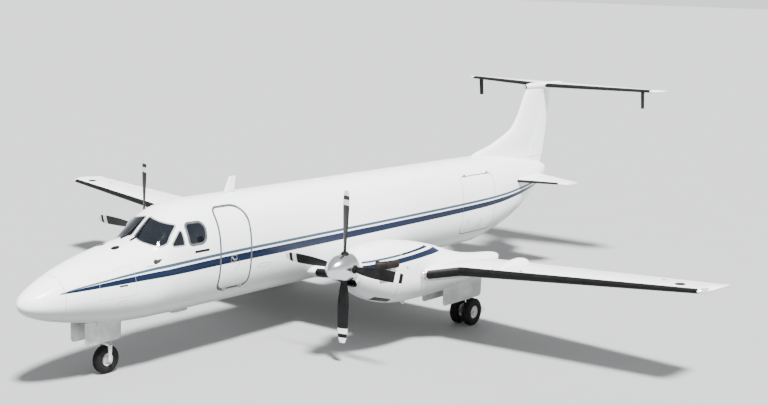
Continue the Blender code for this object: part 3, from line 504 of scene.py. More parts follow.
def build_body_stripe():
    wire, given, out = new_group("body_stripe", SOFT_EDGE, ("Blue", "Navy"))
    where, x, y, z = wire.where()
    station = x + LENGTH / 2
    share = station / LENGTH
    blue, foot = height_curve(wire, share, BLUE_LINE), height_curve(wire, share, NAVY_FOOT)
    grown = wire.step(station, STRIPE_START, STRIPE_FULL, smooth=False)
    inside = (wire.step(station, STRIPE_START, STRIPE_START + 0.02)
              * wire.step(station, STRIPE_END, STRIPE_END - 0.01))
    half = grown * 0.020 + 0.006
    line = wire.step(abs(z - blue) - half, given["Soft"], 0.0)
    wire.feed(line * inside, out["Blue"])
    top = blue - grown * 0.060
    band = wire.step(z - foot, 0.0, given["Soft"]) * wire.step(top - z, 0.0, given["Soft"])
    wire.feed(band * inside, out["Navy"])
    return wire.tree


BODY_STRIPE = build_body_stripe()
print("group", BODY_STRIPE.name)

# %% [markdown]
# The nacelles carry the same pair of lines, which start behind the spinner and end on a slant. The thin
# line is dark behind the exhaust. The rise is so small that a straight slope is enough, and no curve node
# is needed.

# %% Nacelle stripe
NACELLE_FRONT, LINE_RISE = 5.19, 0.014


def build_nacelle_stripe():
    wire, given, out = new_group("nacelle_stripe", SOFT_EDGE, ("Blue", "Navy"))
    where, x, y, z = wire.where()
    station = x + LENGTH / 2
    behind = station - NACELLE_FRONT
    height = z - behind * LINE_RISE
    slanted = station + (height - 1.76) * 1.2
    blue_part = wire.step(station, 6.30, 6.20)
    masks = []
    for middle, half, end in ((1.886, 0.017, 7.38), (1.785, 0.045, 7.58)):
        line = wire.step(abs(height - middle) - half, given["Soft"], 0.0)
        masks.append(line * wire.step(slanted, end, end - 0.01) * wire.step(behind, 0.02, 0.03))
    thin, thick = masks
    wire.feed(thin * blue_part, out["Blue"])
    wire.feed(wire.math("MAXIMUM", thin * (1.0 - blue_part), thick), out["Navy"])
    return wire.tree


NACELLE_STRIPE = build_nacelle_stripe()
print("group", NACELLE_STRIPE.name)

# %% [markdown]
# Bare metal and enamel wear on their edges. The Pointiness of the geometry finds edges on a fine mesh, and
# noise breaks the mask so that the wear isn't an even outline.

# %% Edge wear and grain
def build_edge_wear():
    wire, given, out = new_group("edge_wear", {"Start": 0.52, "End": 0.60, "Scale": 40.0}, ("Edge", "Grain"))
    where = wire.where()[0]
    edge = wire.step(wire.out("NewGeometry", "Pointiness"), given["Start"], given["End"])
    wire.feed(edge * wire.step(wire.noise(where, given["Scale"]), 0.4, 0.6), out["Edge"])
    wire.feed(wire.noise(where, given["Scale"] * 8.0, 3.0), out["Grain"])
    return wire.tree


EDGE_WEAR = build_edge_wear()
print("group", EDGE_WEAR.name)

# %% [markdown]
# The body paint is gloss white over filler and primer. Its colour mixes white with a darker tone low down,
# partly grime and partly painted shade, with stream dirt and the stripe; its roughness follows the dirt, and
# its bump carries the seams, the rivets and a faint waviness of the sheet metal.

# %% Paint
WHITE, DIRT, LOW_GRIME_AND_SHADE = (0.87, 0.88, 0.88), (0.42, 0.41, 0.39), (0.15, 0.155, 0.16)
NAVY, WORN_NAVY, BLUE = (0.0035, 0.0095, 0.030), (0.009, 0.018, 0.045), (0.042, 0.072, 0.108)


def make_paint(name, stripe=None, pitch=1.2, offset=0.0, dirt=0.16):
    """White paint with seams at a pitch, a share of stream dirt, and a stripe group where one is given."""
    material, wire, shader = new_material(name, "white_paint", Coat_Weight=0.03, Coat_Roughness=0.08,
                                          Specular_IOR_Level=0.15)
    grime_and_shade = wire.group(DIRT_AND_SHADE)
    seams = wire.group(SEAMS, {"Pitch": pitch, "Offset": offset})
    marks = wire.math("MAXIMUM", seams["Seam"], seams["Rivet"] * 0.3)
    # Partly grime, partly painted shade: the paint darkens low on the body and on faces that look down.
    color = wire.mix(grime_and_shade["Low Grime And Shade"] * 0.75, WHITE, LOW_GRIME_AND_SHADE)
    color = wire.mix(grime_and_shade["Streaks"] * dirt, color, DIRT)
    color = wire.mix(marks * 0.40, color, DIRT)
    if stripe:
        lines = wire.group(stripe)
        color = wire.mix(lines["Blue"], color, BLUE)
        color = wire.mix(lines["Navy"], color, wire.mix(grime_and_shade["Streaks"] * 0.5, NAVY, WORN_NAVY))
    height = grime_and_shade["Mottle"] * 0.15 - marks
    wire.surface(shader, color, grime_and_shade["Streaks"] * 0.18 + 0.24, height, 0.25, 0.0015)
    return material


BODY_PAINT = make_paint("body_paint", BODY_STRIPE)
NACELLE_PAINT = make_paint("nacelle_paint", NACELLE_STRIPE, 0.95, 0.2, 0.25)
WING_PAINT = make_paint("wing_paint", None, 0.62, 0.1, 0.20)
PLAIN_PAINT = make_paint("plain_paint", None, 5.0, 0.7, 0.12)
print("paints", BODY_PAINT.name, NACELLE_PAINT.name)

# %% [markdown]
# The other finishes follow one pattern: a base colour that wanders a little, and a roughness that wanders
# with it. One function makes them, and each keeps its own constants, such as metallic, on the shader.

# %% Other finishes
def make_finish(name, slot, color, other, rough, metallic=0.0, scale=25.0, bump=0.0006, wear=None, coat=0.0,
                shine=0.5):
    """A finish between two colours, with grain, and with bare metal on its edges where wear is given."""
    constants = {"Metallic": metallic, "Coat_Weight": coat, "Specular_IOR_Level": shine}
    material, wire, shader = new_material(name, slot, **constants)
    edges = wire.group(EDGE_WEAR, {"Scale": scale})
    wander = wire.step(wire.noise(wire.where()[0], scale * 0.3, 5.0), 0.3, 0.7)
    tone = wire.mix(wander, color, other)
    if wear:
        tone = wire.mix(edges["Edge"], tone, wear)
    wire.surface(shader, tone, edges["Grain"] * 0.14 + (rough - 0.07), edges["Grain"], 0.3, bump)
    return material


def gloss(name, color, other, rough, metallic, bump):
    """Clear or coloured moulded glass of a lamp, under a clear coat."""
    return make_finish(name, "polished_metal", color, other, rough, metallic, 30.0, bump, coat=1.0)


BOOT = make_finish("boot_rubber", "black_blade", (0.0035, 0.0037, 0.004), (0.007, 0.0072, 0.0075), 0.5,
                   shine=0.12)
BLACK = make_finish("black_enamel", "black_blade", (0.003,) * 3, (0.007,) * 3, 0.45, shine=0.15)
POLISHED = make_finish("polished_spinner", "polished_metal", (0.78, 0.79, 0.81), (0.68, 0.69, 0.72), 0.16,
                       1.0, 8.0, 0.0002)
BARE = make_finish("bare_metal", "polished_metal", (0.62, 0.63, 0.65), (0.50, 0.51, 0.53), 0.30, 1.0)
EXHAUST = make_finish("exhaust_steel", "heated_steel", (0.012, 0.009, 0.0075), (0.030, 0.024, 0.020), 0.58,
                      0.35, 18.0, 0.001, shine=0.15)
ENGINE = make_finish("engine_casing", "engine_grey", (0.22, 0.23, 0.24), (0.33, 0.34, 0.35), 0.5, 0.8)
ENAMEL = make_finish("gear_enamel_white", "gear_enamel", (0.72, 0.73, 0.73), (0.60, 0.61, 0.61), 0.35,
                     scale=35.0, wear=(0.30, 0.30, 0.31))
CHROME = make_finish("oleo_chrome", "polished_metal", (0.85, 0.86, 0.87), (0.80, 0.81, 0.82), 0.08,
                     1.0, 12.0, 0.0001)
TYRE = make_finish("tyre_black", "tyre_rubber", (0.006, 0.006, 0.0065), (0.016, 0.0155, 0.015), 0.80,
                   scale=60.0, bump=0.0012, shine=0.15)
RIM = make_finish("wheel_white", "wheel_enamel", (0.70, 0.71, 0.72), (0.55,) * 3, 0.36, scale=40.0,
                  wear=(0.25,) * 3)
TRIM = make_finish("cabin_lining", "cabin_trim", (0.40, 0.41, 0.43), (0.50, 0.50, 0.51), 0.72,
                   scale=90.0, bump=0.001)
FLOOR_GREY = make_finish("freight_floor", "cabin_trim", (0.20, 0.21, 0.22), (0.32, 0.33, 0.34), 0.62,
                         0.2, 55.0, 0.0012)
PANEL = make_finish("panel_finish", "panel_black", (0.028, 0.029, 0.032), (0.05, 0.05, 0.055), 0.6,
                    scale=80.0)
SEAT = make_finish("seat_cloth", "seat_fabric", (0.12, 0.14, 0.18), (0.20, 0.22, 0.27), 0.9,
                   scale=220.0, bump=0.002)
SEAL = make_finish("seal_grey", "panel_black", (0.055, 0.062, 0.070), (0.09, 0.10, 0.11), 0.6, shine=0.2)
HOSE = make_finish("hose_black", "tyre_rubber", (0.02,) * 3, (0.05,) * 3, 0.6, scale=50.0)
TREAD = make_finish("step_tread", "panel_black", (0.05, 0.05, 0.052), (0.10,) * 3, 0.85,
                    scale=160.0, bump=0.002)
FRAME = make_finish("window_frame", "white_paint", (0.21, 0.225, 0.245), (0.29, 0.31, 0.33), 0.4, scale=40.0)
LINE_GREY = make_finish("line_grey", "panel_black", (0.30, 0.31, 0.32), (0.40, 0.41, 0.42), 0.5, shine=0.2)
VANE = make_finish("vane_brown", "heated_steel", (0.040, 0.033, 0.027), (0.080, 0.070, 0.060), 0.45,
                   0.4, shine=0.3)
# A darker grey for the plate below each exhaust stack.
PLATE_GREY = make_finish("stack_plate_finish", "heated_steel", (0.20, 0.20, 0.195), (0.34, 0.34, 0.33), 0.55,
                   0.25, 20.0, 0.0008)
LENS = gloss("lamp_lens", (0.85, 0.84, 0.78), (0.75, 0.76, 0.74), 0.10, 0.6, 0.0004)
RED_LENS = gloss("red_lens", (0.22, 0.030, 0.026), (0.30, 0.050, 0.045), 0.10, 0.0, 0.0003)
LAMP_WARM = gloss("lamp_warm", (0.62, 0.44, 0.30), (0.48, 0.34, 0.23), 0.12, 0.3, 0.0003)


def make_glass():
    material, wire, shader = new_material("cockpit_pane", "cockpit_glass", Transmission_Weight=0.9,
                                          Metallic=0.0, IOR=1.45, Specular_IOR_Level=0.25)
    where = wire.where()[0]
    tint = wire.mix(wire.noise(where, 3.0, 2.0), (0.030, 0.042, 0.064), (0.058, 0.076, 0.105))
    wire.surface(shader, tint, wire.step(wire.noise(where, 14.0, 5.0), 0.45, 0.8) * 0.05 + 0.03)
    return material


GLASS = make_glass()

# %% [markdown]
# The body, and each nacelle, is a hull: a half width, a top, a bottom and a fullness at each station. A
# section is a superellipse, which is a circle at fullness 2 and gets squarer above it. Since the skin has a
# formula, its true normals are known too. They are written into the mesh, so that the cuts for windows and
# doors leave no shading marks.

# %% Hulls
class Hull:
    def __init__(self, rows, y=0.0):
        self.rows = [(sqrt(row[0]), *row[1:]) for row in rows]
        self.y = y

    def sizes(self, stations, inset=0.0):
        """Half width, middle height, half height and fullness at many stations."""
        found = smooth_table(self.rows, np.sqrt(np.atleast_1d(stations)))
        half = np.maximum(found[:, 0] - inset, 1e-4)
        rise = np.maximum((found[:, 1] - found[:, 2]) / 2 - inset, 1e-4)
        return half, (found[:, 1] + found[:, 2]) / 2, rise, found[:, 3]

    def ring(self, station, inset=0.0, count=96):
        half, middle, rise, fullness = (float(v[0]) for v in self.sizes(station, inset))
        angle = 2 * pi * (np.arange(count) + 0.5) / count
        c, s = np.cos(angle), np.sin(angle)
        radius = (np.abs(c / half) ** fullness + np.abs(s / rise) ** fullness) ** (-1 / fullness)
        x = np.full(count, station - LENGTH / 2)
        return np.column_stack([x, self.y + radius * c, middle + radius * s])

    def rings(self, stations, inset=0.0, count=96):
        return [self.ring(s, inset, count) for s in stations]

    def level(self, points):
        """Below 1 inside the hull, and above 1 outside it."""
        half, middle, rise, fullness = self.sizes(np.clip(points[:, 0] + LENGTH / 2, 1e-6, LENGTH))
        across, up = (points[:, 1] - self.y) / half, (points[:, 2] - middle) / rise
        return np.abs(across) ** fullness + np.abs(up) ** fullness

    def normals(self, points, reach=1e-4):
        found = np.empty_like(points)
        for axis in range(3):
            shift = np.zeros(3)
            shift[axis] = reach
            found[:, axis] = self.level(points + shift) - self.level(points - shift)
        return found / np.maximum(np.linalg.norm(found, axis=1, keepdims=True), 1e-12)

    def skin_point(self, station, y, z):
        return Vector((station - LENGTH / 2, self.y + y, z))

    def side_point(self, station, z, side):
        """The place on the skin at a station and a height."""
        half, middle, rise, fullness = (float(v[0]) for v in self.sizes(station))
        inside = max(0.0, 1 - abs((z - middle) / rise) ** fullness)
        return self.skin_point(station, side * half * inside ** (1 / fullness), z)

    def top_point(self, station, y, up=1):
        """The place on the skin at a station and an offset from the middle, on the top or the bottom."""
        half, middle, rise, fullness = (float(v[0]) for v in self.sizes(station))
        inside = max(0.0, 1 - abs(y / half) ** fullness)
        return self.skin_point(station, y, middle + up * rise * inside ** (1 / fullness))

    def normal_at(self, point):
        return Vector(self.normals(np.array([point], float))[0])


def fair(mesh, hull):
    """Writes the hull's true normals into every face that lies in its skin."""
    points = np.empty(len(mesh.vertices) * 3)
    mesh.vertices.foreach_get("co", points)
    corner = np.empty(len(mesh.loops), int)
    mesh.loops.foreach_get("vertex_index", corner)
    facing = np.empty(len(mesh.polygons) * 3)
    mesh.polygons.foreach_get("normal", facing)
    sizes = np.empty(len(mesh.polygons), int)
    mesh.polygons.foreach_get("loop_total", sizes)
    flat = np.repeat(facing.reshape(-1, 3), sizes, axis=0)
    true = hull.normals(points.reshape(-1, 3))[corner]
    agree = np.sum(flat * true, axis=1)[:, None]
    chosen = np.where(agree > 0.8, true, np.where(agree < -0.8, -true, flat))
    mesh.shade_smooth()
    mesh.normals_split_custom_set(chosen.tolist())
    return mesh


FUSELAGE = (
    (0.0, 0.0, 1.50, 1.50, 2.0), (0.02, 0.07, 1.57, 1.43, 2.0), (0.08, 0.16, 1.64, 1.35, 2.0),
    (0.25, 0.285, 1.74, 1.25, 2.0), (0.62, 0.43, 1.91, 1.13, 2.05), (1.10, 0.55, 2.07, 1.03, 2.1),
    (1.60, 0.635, 2.19, 0.94, 2.15), (2.00, 0.68, 2.26, 0.90, 2.2), (2.35, 0.71, 2.31, 0.885, 2.25),
    (2.56, 0.722, 2.475, 0.88, 2.3), (2.77, 0.733, 2.64, 0.875, 2.3), (3.00, 0.742, 2.76, 0.87, 2.35),
    (3.30, 0.75, 2.83, 0.87, 2.35), (3.70, 0.75, 2.86, 0.87, 2.35), (12.60, 0.75, 2.86, 0.87, 2.35),
    (13.15, 0.74, 2.855, 0.96, 2.35), (13.80, 0.70, 2.82, 1.10, 2.3), (14.30, 0.64, 2.77, 1.25, 2.25),
    (14.80, 0.55, 2.70, 1.43, 2.2), (15.30, 0.445, 2.62, 1.65, 2.1), (15.80, 0.325, 2.54, 1.87, 2.05),
    (16.15, 0.215, 2.48, 2.05, 2.0), (16.32, 0.12, 2.44, 2.22, 2.0),
)
BODY = Hull(FUSELAGE)
print("body half width at station 8", BODY.sizes(8.0)[0])

# %% [markdown]
# The fuselage is four skins that meet at real joints: the radome, the nose with the flight deck, the cabin
# and the tail cone. The nose skin is a shell from the gear bay aft, so that the flight deck shows through
# its windows.

# %% Fuselage skins
RADOME_JOINT, NOSE_BAY_END, FORWARD_JOINT, TAIL_JOINT = 0.62, 2.10, 3.70, 13.15
WALL = 0.05
SEAM_GAP = 0.0012


def windshield_outline(side, grow=0.0):
    """One windshield pane seen from the front, as (y, z)."""
    corners = ((side * (0.035 - grow), 2.335 - grow), (side * (0.62 + grow), 2.185 - grow),
               (side * (0.52 + grow), 2.53 + grow), (side * (0.035 - grow), 2.635 + grow))
    return rounded(corners, (0.03, 0.05, 0.06, 0.03))


def quarter_outline(grow=0.0):
    """The triangular window, seen from the side as (station, z)."""
    corners = ((2.70 - 1.6 * grow, 2.19 - grow), (2.975 + grow, 2.19 - grow),
               (2.975 + grow, 2.47 + 1.6 * grow))
    return rounded(corners, (0.03, 0.025, 0.03))


def window_outline(grow=0.0):
    corners = ((3.10 - grow, 2.185 - grow), (3.47 + grow, 2.185 - grow),
               (3.50 + grow, 2.53 + grow), (3.09 - grow, 2.53 + grow))
    return rounded(corners, (0.06, 0.13, 0.13, 0.07))


def side_tool(outline, side):
    return prism([(s - LENGTH / 2, z) for s, z in outline], "Y", side * 0.15, side * 1.2)


def along_x(outline, first, last):
    """An outline of (y, z) extruded between two stations."""
    return prism(outline, "X", first - LENGTH / 2, last - LENGTH / 2)


def window_tools(side, grow=0.0):
    """Prisms through the three windows of one side."""
    return {"windshield": along_x(windshield_outline(side, grow), 2.12, 3.35),
            "quarter_window": side_tool(quarter_outline(grow), side),
            "cockpit_window": side_tool(window_outline(grow), side)}


def make_nose_skins():
    tip = [RADOME_JOINT * k**2 / 36**2 for k in range(1, 37)]
    tip[-1] -= SEAM_GAP
    radome = loft(BODY.rings([1e-5] + tip))
    piece("radome_skin", fair(radome, BODY), BODY_PAINT, nodes=("radome",))
    outer = BODY.rings(run(RADOME_JOINT + SEAM_GAP, FORWARD_JOINT - SEAM_GAP, 0.05))
    inner = BODY.rings(run(NOSE_BAY_END, FORWARD_JOINT - SEAM_GAP, 0.1), WALL)
    tools = [block(place(1.18, -0.17, 0.60), place(2.00, 0.17, 1.30))]
    for side, word in SIDES:
        tools += window_tools(side).values()
    skin = cut(loft(outer + inner[::-1]), tools)
    piece("nose_skin", fair(skin, BODY), BODY_PAINT, nodes=("forward_fuselage",))


make_nose_skins()
print("nose skins made")

# %% [markdown]
# The cabin wall is one long shell with the openings for the airstair and the cargo door. Each door is a
# piece of the same wall, cut by an outline that is a running gap smaller, so that its curve meets the
# body's on all sides.

# %% Cabin and doors
AIRSTAIR = ((3.84, 4.60, 1.24, 2.71), (0.12, 0.12, 0.30, 0.12))
CARGO = ((11.65, 12.97, 1.24, 2.56), (0.12,) * 4)
DOORS = (("airstair_door", AIRSTAIR, "airstair"), ("cargo_door", CARGO, "cargo_hatch"))
AIRSTAIR_SWING = radians(128)
DOOR_GAP = 0.010


def door_outline(door, gap=0.0):
    """A door's outline, smaller by a gap. A door is a box of stations and heights, and its corners' radii."""
    (first, last, sill, head), radii = door
    corners = ((first + gap, sill + gap), (last - gap, sill + gap),
               (last - gap, head - 1.4 * gap), (first + gap, head - 1.4 * gap))
    return rounded(corners, radii)


def door_tool(door, gap=0.0):
    return side_tool(door_outline(door, gap), -1)


def layer(stations, inset=0.0, depth=WALL, count=96):
    """A closed band of the body's own skin, from an inset to a depth below that."""
    outer, inner = BODY.rings(stations, inset, count), BODY.rings(stations, inset + depth, count)
    return loft(outer + inner[::-1], wrap=True)


def make_cabin_skins():
    wall = layer(run(FORWARD_JOINT + SEAM_GAP, TAIL_JOINT - SEAM_GAP, 0.12))
    cabin = cut(wall, [door_tool(door) for name, door, body in DOORS])
    piece("cabin_skin", fair(cabin, BODY), BODY_PAINT, nodes=("cabin_fuselage",))
    for name, door, body in DOORS:
        wall = layer(run(door[0][0] - 0.2, door[0][1] + 0.2, 0.06))
        skin = cut(wall, [door_tool(door, DOOR_GAP)], "INTERSECT")
        piece(f"{name}_skin", fair(skin, BODY), BODY_PAINT, body, (name,))


def make_tail_skin():
    outer = BODY.rings(run(TAIL_JOINT + SEAM_GAP, FUSELAGE[-1][0], 0.07))
    inner = BODY.rings(run(TAIL_JOINT + SEAM_GAP, 15.3, 0.2), 0.04)
    cone = fair(loft(inner[::-1] + outer), BODY)
    piece("tail_cone_skin", cone, BODY_PAINT, nodes=("tail_cone",))


make_cabin_skins()
make_tail_skin()
print("cabin, doors and tail cone made")

# %% [markdown]
# The panes are thick moulded acrylic, curved like the body round them. Each is the body's own skin, four
# millimetres in and eighteen deep, kept only inside its window's outline.

# %% Panes
PANE_INSET, PANE_DEPTH = 0.004, 0.018


def make_panes():
    stations = run(2.00, 3.65, 0.04)
    for side, word in SIDES:
        for name, tool in window_tools(side, -0.0005).items():
            pane = cut(layer(stations, PANE_INSET, PANE_DEPTH), [tool], "INTERSECT")
            piece(f"{name}_pane_{word}", fair(pane, BODY), GLASS, nodes=(f"{name}_{word}",))


make_panes()
print("panes made")

# %% [markdown]
# Wing sections are the classic four-figure thickness form: blunt in front and sharp behind. The plan is
# straight between its kinks, as on the real wing. Rings are set close only at the tip, which rounds off
# like a quarter ellipse.

# %% Wing skins
WING_PLAN = ((0.30, 6.40, 9.30, 1.14), (2.25, 6.40, 9.30, 1.34), (2.95, 6.72, 9.27, 1.42),
             (3.50, 7.37, 9.22, 1.50), (8.10, 7.77, 8.80, 1.83), (8.305, 8.33, 8.78, 1.845))
WING_DEPTH = ((0.30, 0.37), (2.95, 0.35), (3.50, 0.31), (8.10, 0.125), (8.305, 0.04))
HINGE_LINE = ((0.30, 8.76), (2.95, 8.75), (8.10, 8.52))
WING_DROOP = 0.035
FLAP_INNER, FLAP_OUTER, AILERON = (0.83, 2.16), (3.10, 5.40), (5.50, 7.95)
FLAP_END_GAP, PIN_REACH = 0.020, 0.038
TIP_START, TIP_END = 8.10, 8.305
NACELLE_Y, HUB_Z, COWL_FRONT = 2.615, 1.79, 5.185


def half_depth(depth, share):
    """Half the thickness of a section at a share of its chord; the sharp edge keeps three millimetres."""
    form = 2.5 * (0.5938 * np.sqrt(share) - 0.2520 * share - 0.7032 * share**2 + 0.5686 * share**3
                  - 0.2072 * share**4)
    return depth * form + 0.003 * share


def wing_row(y):
    """Leading edge, trailing edge, height and depth at a span position."""
    row = [straight_table(WING_PLAN, y, column) for column in (1, 2, 3)] + [straight_table(WING_DEPTH, y, 1)]
    if y > TIP_START:
        tip = (y - TIP_START) / (TIP_END - TIP_START)
        round_off = sqrt(max(0.0, 1 - tip**2))
        row[0] = WING_PLAN[-2][1] + (1 - round_off) * (WING_PLAN[-1][1] - WING_PLAN[-2][1])
        row[3] = WING_DEPTH[-2][1] * round_off + 0.004
    return row


def section(lead, trail, y, z, depth, count=28, droop=0.0, grow=0.0):
    """A closed aerofoil section, grown by a distance; droop lowers the trailing edge."""
    share = 0.5 * (1 - np.cos(pi * np.arange(count + 1) / count))
    chord = trail - lead
    rise = half_depth(depth, share) + grow * np.sqrt(np.minimum(1.0, share * 40))
    x = lead - LENGTH / 2 + chord * share - grow * (1 - share) ** 4
    middle = z - droop * share * chord
    upper = np.column_stack([x, np.full_like(x, y), middle + rise])
    lower = np.column_stack([x, np.full_like(x, y), middle - rise])
    return np.vstack([upper, lower[1:][::-1]])


def wing_section(y, side):
    lead, trail, z, depth = wing_row(y)
    return section(lead, trail, side * y, z, depth, droop=WING_DROOP)


def wing_middle(station, y, side):
    """The place inside the wing, half way through its depth, and half the depth there."""
    lead, trail, z, depth = wing_row(y)
    rise = float(half_depth(depth, (station - lead) / (trail - lead)))
    return place(station, side * y, z - WING_DROOP * (station - lead)), rise


def hinge_place(y, side):
    return wing_middle(straight_table(HINGE_LINE, y, 1), y, side)


def hinge_pin(start, end):
    """A pin along a hinge line, which reaches into the fixed part at both ends."""
    reach = (end - start).normalized() * PIN_REACH
    return rod(start - reach, end + reach, 0.007, 16)


def nose_arc(centre, radius, trail, spread, drop=0.0, steps=12):
    """The section of a hinged surface: a round nose and straight sides."""
    ring = [centre + Vector((radius * cos(a), 0, radius * sin(a)))
            for a in (pi / 2 + pi * k / steps for k in range(steps + 1))]
    end = place(trail, centre.y, centre.z - drop)
    return ring + [end - spread * UP, end + spread * UP]


def bay_tool(span, side, end_gap=0.008):
    rings = []
    for y in (span[0] - end_gap, span[1] + end_gap):
        centre, radius = hinge_place(y, side)
        rings.append(nose_arc(centre, radius + 0.004, wing_row(y)[1] + 0.5, 0.6))
    return loft(rings)


def make_wing(side, word):
    body_tool = loft(BODY.rings(run(5.9, 9.9, 0.5), -0.001))
    nacelle_tool = loft(NACELLES[word].rings(run(COWL_FRONT, NACELLE[-1][0], 0.12), -0.001, 64))
    inner = loft([wing_section(y, side) for y in (0.35, 1.0, 1.6, 2.25, 2.45, 2.62)])
    inner = cut(inner, [body_tool, nacelle_tool, bay_tool(FLAP_INNER, side, FLAP_END_GAP)])
    piece(f"wing_inner_skin_{word}", inner, WING_PAINT, nodes=(f"wing_inner_{word}",))
    tip = [TIP_START + (TIP_END - TIP_START) * sin(pi / 2 * k / 10) for k in range(1, 11)]
    spans = [2.62, 2.95, 3.20, 3.50, *run(4.0, 7.9, 0.5), TIP_START, *tip]
    outer = cut(loft([wing_section(y, side) for y in spans]),
                [nacelle_tool.copy(), bay_tool(FLAP_OUTER, side, FLAP_END_GAP), bay_tool(AILERON, side)])
    piece(f"wing_outer_skin_{word}", outer, WING_PAINT, nodes=(f"wing_outer_{word}",))


def make_hinged(name, span, side, word):
    """A flap or an aileron, with the pins that carry it."""
    rings = []
    for y in run(span[0], span[1], 0.4):
        centre, radius = hinge_place(y, side)
        trail = wing_row(y)[1]
        drop = WING_DROOP * (trail - centre.x - LENGTH / 2)
        rings.append(nose_arc(centre, radius - 0.004, trail, 0.003, drop))
    mesh = join([loft(rings), hinge_pin(*(hinge_place(y, side)[0] for y in span))])
    piece(f"{name}_{word}_skin", mesh, WING_PAINT, f"{name}_body_{word}", (f"{name}_{word}",))


NACELLE = (
    (COWL_FRONT, 0.27, 2.05, 1.40, 2.0), (5.32, 0.33, 2.10, 1.26, 2.1), (5.62, 0.385, 2.14, 1.11, 2.2),
    (6.00, 0.42, 2.14, 0.99, 2.3), (6.40, 0.43, 2.11, 0.92, 2.35), (6.70, 0.43, 2.06, 0.90, 2.35),
    (7.10, 0.425, 1.99, 0.89, 2.35), (7.60, 0.42, 1.87, 0.89, 2.35), (8.20, 0.40, 1.68, 0.91, 2.35),
    (8.80, 0.36, 1.53, 0.94, 2.3), (9.40, 0.29, 1.44, 1.01, 2.2), (9.90, 0.18, 1.39, 1.13, 2.0),
    (10.12, 0.07, 1.34, 1.24, 2.0),
)
NACELLES = {word: Hull(NACELLE, side * NACELLE_Y) for side, word in SIDES}
for side, word in SIDES:
    make_wing(side, word)
    for name, span in (("flap_inner", FLAP_INNER), ("flap_outer", FLAP_OUTER), ("aileron", AILERON)):
        make_hinged(name, span, side, word)
print("wings made")

# %% [markdown]
# The fin grows out of a long dorsal fillet. Its sections lie flat, one above the other, and a monotone
# curve through their leading edges draws the fillet. The tailplane sits on top in a slim bullet, with a
# small fin under each tip.

# %% Tail skins
FIN = ((2.40, 12.95, 16.25, 0.17), (2.86, 13.00, 16.33, 0.17), (3.10, 13.90, 16.38, 0.165),
       (3.47, 14.80, 16.45, 0.155), (4.385, 15.40, 16.60, 0.12))
RUDDER_FOOT, RUDDER_HEAD = (15.60, 2.66), (16.08, 4.29)
TAILPLANE_Z, TAILPLANE_HALF, TAIL_TIP, TAILLET_FOOT = 4.45, 2.815, 2.68, 4.0
ELEVATOR_HINGE, ELEVATOR_SPAN = 17.17, (0.14, 2.70)
BULLET = ((15.32, 0.02, 4.44), (15.42, 0.054, 4.445), (15.70, 0.083, 4.45), (16.30, 0.083, 4.452),
          (16.95, 0.077, 4.46), (17.15, 0.058, 4.46))


def fin_section(z, lead, trail, depth, y=0.0, count=20):
    """A section that lies flat, for a surface that stands up."""
    flat = section(lead, trail, 0.0, 0.0, depth, count)
    return np.column_stack([flat[:, 0], flat[:, 2] + y, np.full(len(flat), z)])


def rudder_ring(z, radius, trail, spread, steps=12):
    share = (z - RUDDER_FOOT[1]) / (RUDDER_HEAD[1] - RUDDER_FOOT[1])
    hinge = RUDDER_FOOT[0] + share * (RUDDER_HEAD[0] - RUDDER_FOOT[0])
    ring = [place(hinge + radius * cos(a), radius * sin(a), z)
            for a in (pi / 2 + pi * k / steps for k in range(steps + 1))]
    return ring + [place(trail, -spread, z), place(trail, spread, z)]


def bullet_mesh(grow=0.0):
    stations = [15.32 + 1.83 * (k / 30) ** 1.6 for k in range(31)]
    return loft([circle(place(s, 0, z), radius + grow, AFT) for s, radius, z in rows_at(BULLET, stations)])


def make_fin():
    fin = loft([fin_section(*row) for row in rows_at(FIN, run(2.40, 4.385, 0.05))])
    cone = loft(BODY.rings(run(12.2, FUSELAGE[-1][0], 0.2), -0.001))
    foot, head = RUDDER_FOOT[1], RUDDER_HEAD[1]
    bay = loft([rudder_ring(foot - 0.008, 0.056, 17.4, 0.5), rudder_ring(head + 0.008, 0.048, 17.4, 0.5)])
    piece("fin_skin", cut(fin, [cone, bay, bullet_mesh(0.0005)]), PLAIN_PAINT, nodes=("fin",))
    rings = [rudder_ring(foot + t * (head - foot), 0.048 - 0.008 * t, 16.34 + 0.24 * t, 0.004)
             for t in run(0.0, 1.0, 0.1)]
    pin = hinge_pin(*(place(s, 0.0, z) for s, z in (RUDDER_FOOT, RUDDER_HEAD)))
    piece("rudder_skin", join([loft(rings), pin]), PLAIN_PAINT, "rudder_body", ("rudder",))


def tail_row(y):
    """Leading edge, trailing edge and depth of the tailplane at a span position; the tip rounds off."""
    y = abs(y)
    depth = 0.125 - 0.022 * y
    lead = 16.13 + y / 2.76 * 0.85
    if y > TAIL_TIP:
        tip = (y - TAIL_TIP) / (TAILPLANE_HALF - TAIL_TIP)
        round_off = sqrt(max(0.0, 1 - tip**2))
        lead += 0.16 * (1 - round_off)
        depth *= max(0.12, round_off)
    return lead, LENGTH - 0.004, depth


def elevator_ring(y, radius, trail, spread):
    return nose_arc(place(ELEVATOR_HINGE, y, TAILPLANE_Z), radius - 0.008 * abs(y), trail, spread)


